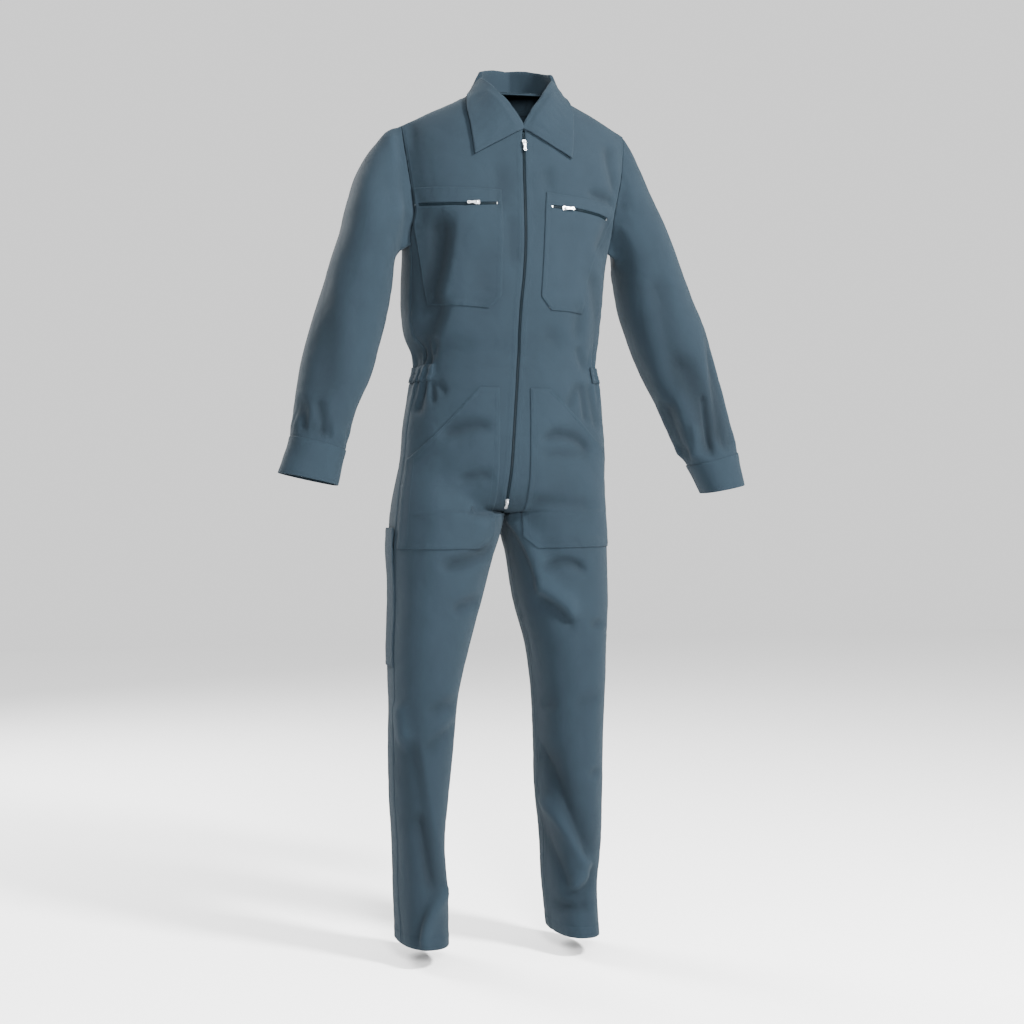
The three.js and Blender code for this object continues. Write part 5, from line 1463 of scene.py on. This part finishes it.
# Hanger loop of tape inside the back neck
z, x = np.meshgrid(np.linspace(LOOP.top - 2, LOOP.bottom, 14), np.linspace(LOOP.left, LOOP.right, 30),
                   indexing="ij")
r, c = bodice.locate(x, z, 1)
points, normals = bodice.at(r, c)
window = (x > LOOP.left + LOOP.tape) & (x < LOOP.right - LOOP.tape) & (z > LOOP.bottom + LOOP.tape)
keep = ~(window[:-1, :-1] & window[:-1, 1:])
face = points - normals * (CLOTH + GAP)
obj = wall("cloth_hanger_loop", face, face - normals * LOOP.cloth, cloth, None, keep, True)
register(obj, ["hanger_loop"])

register(make_stitches("stitching", thread))

for name in ("zip_slider_top", "zip_pull_top", "zip_slider_bottom", "zip_pull_bottom", "chest_slider_right",
             "chest_pull_right", "chest_slider_left", "chest_pull_left"):
    node = bpy.data.objects[name]
    node.data.materials.clear()
    node.data.materials.append(nickel)

# Stage, light and camera
FLOOR = -1.545
FLOOR_HALF = 7

backdrop = bpy.data.materials.new("backdrop")
set_inputs(shader_nodes(backdrop)[2],
           {"Base Color": (0.9, 0.9, 0.9, 1), "Roughness": 1, "Specular IOR Level": 0})
mesh = bpy.data.meshes.new("floor")
mesh.from_pydata([(x * FLOOR_HALF, y * FLOOR_HALF, 0) for x, y in ((-1, -1), (1, -1), (1, 1), (-1, 1))], [],
                 [(0, 1, 2, 3)])
mesh.materials.append(backdrop)
floor = link(bpy.data.objects.new("floor", mesh))
floor.location = (0, 0, FLOOR)

world = bpy.data.worlds.new("studio")
world.use_nodes = True
set_inputs(world.node_tree.nodes["Background"], {"Color": (1, 1, 1, 1), "Strength": 1.2})
bpy.context.scene.world = world


def aim(obj, place, target):
    obj.location = place
    obj.rotation_euler = (Vector(target) - Vector(place)).to_track_quat("-Z", "Y").to_euler()


for name, place, target, size, power in (
    ("key", (1.6, -2.2, 1.3), (0, 0, -0.6), 0.6, 500),
    ("front_fill", (-0.45, -3.0, -0.1), (0, 0, -0.2), 0.8, 240),
    ("fill", (-1.6, 2.6, 1.0), (0, 0, -0.7), 1.6, 260),
):
    light = bpy.data.lights.new(name, "AREA")
    light.shape = "DISK"
    light.size = size
    light.energy = power
    aim(link(bpy.data.objects.new(name, light)), place, target)

camera = bpy.data.cameras.new("camera")
camera.lens = 58.6
camera.sensor_width = 36
view = link(bpy.data.objects.new("camera", camera))
aim(view, (-0.877, -2.869, -0.75), (0, 0, -0.75))
bpy.context.scene.camera = view
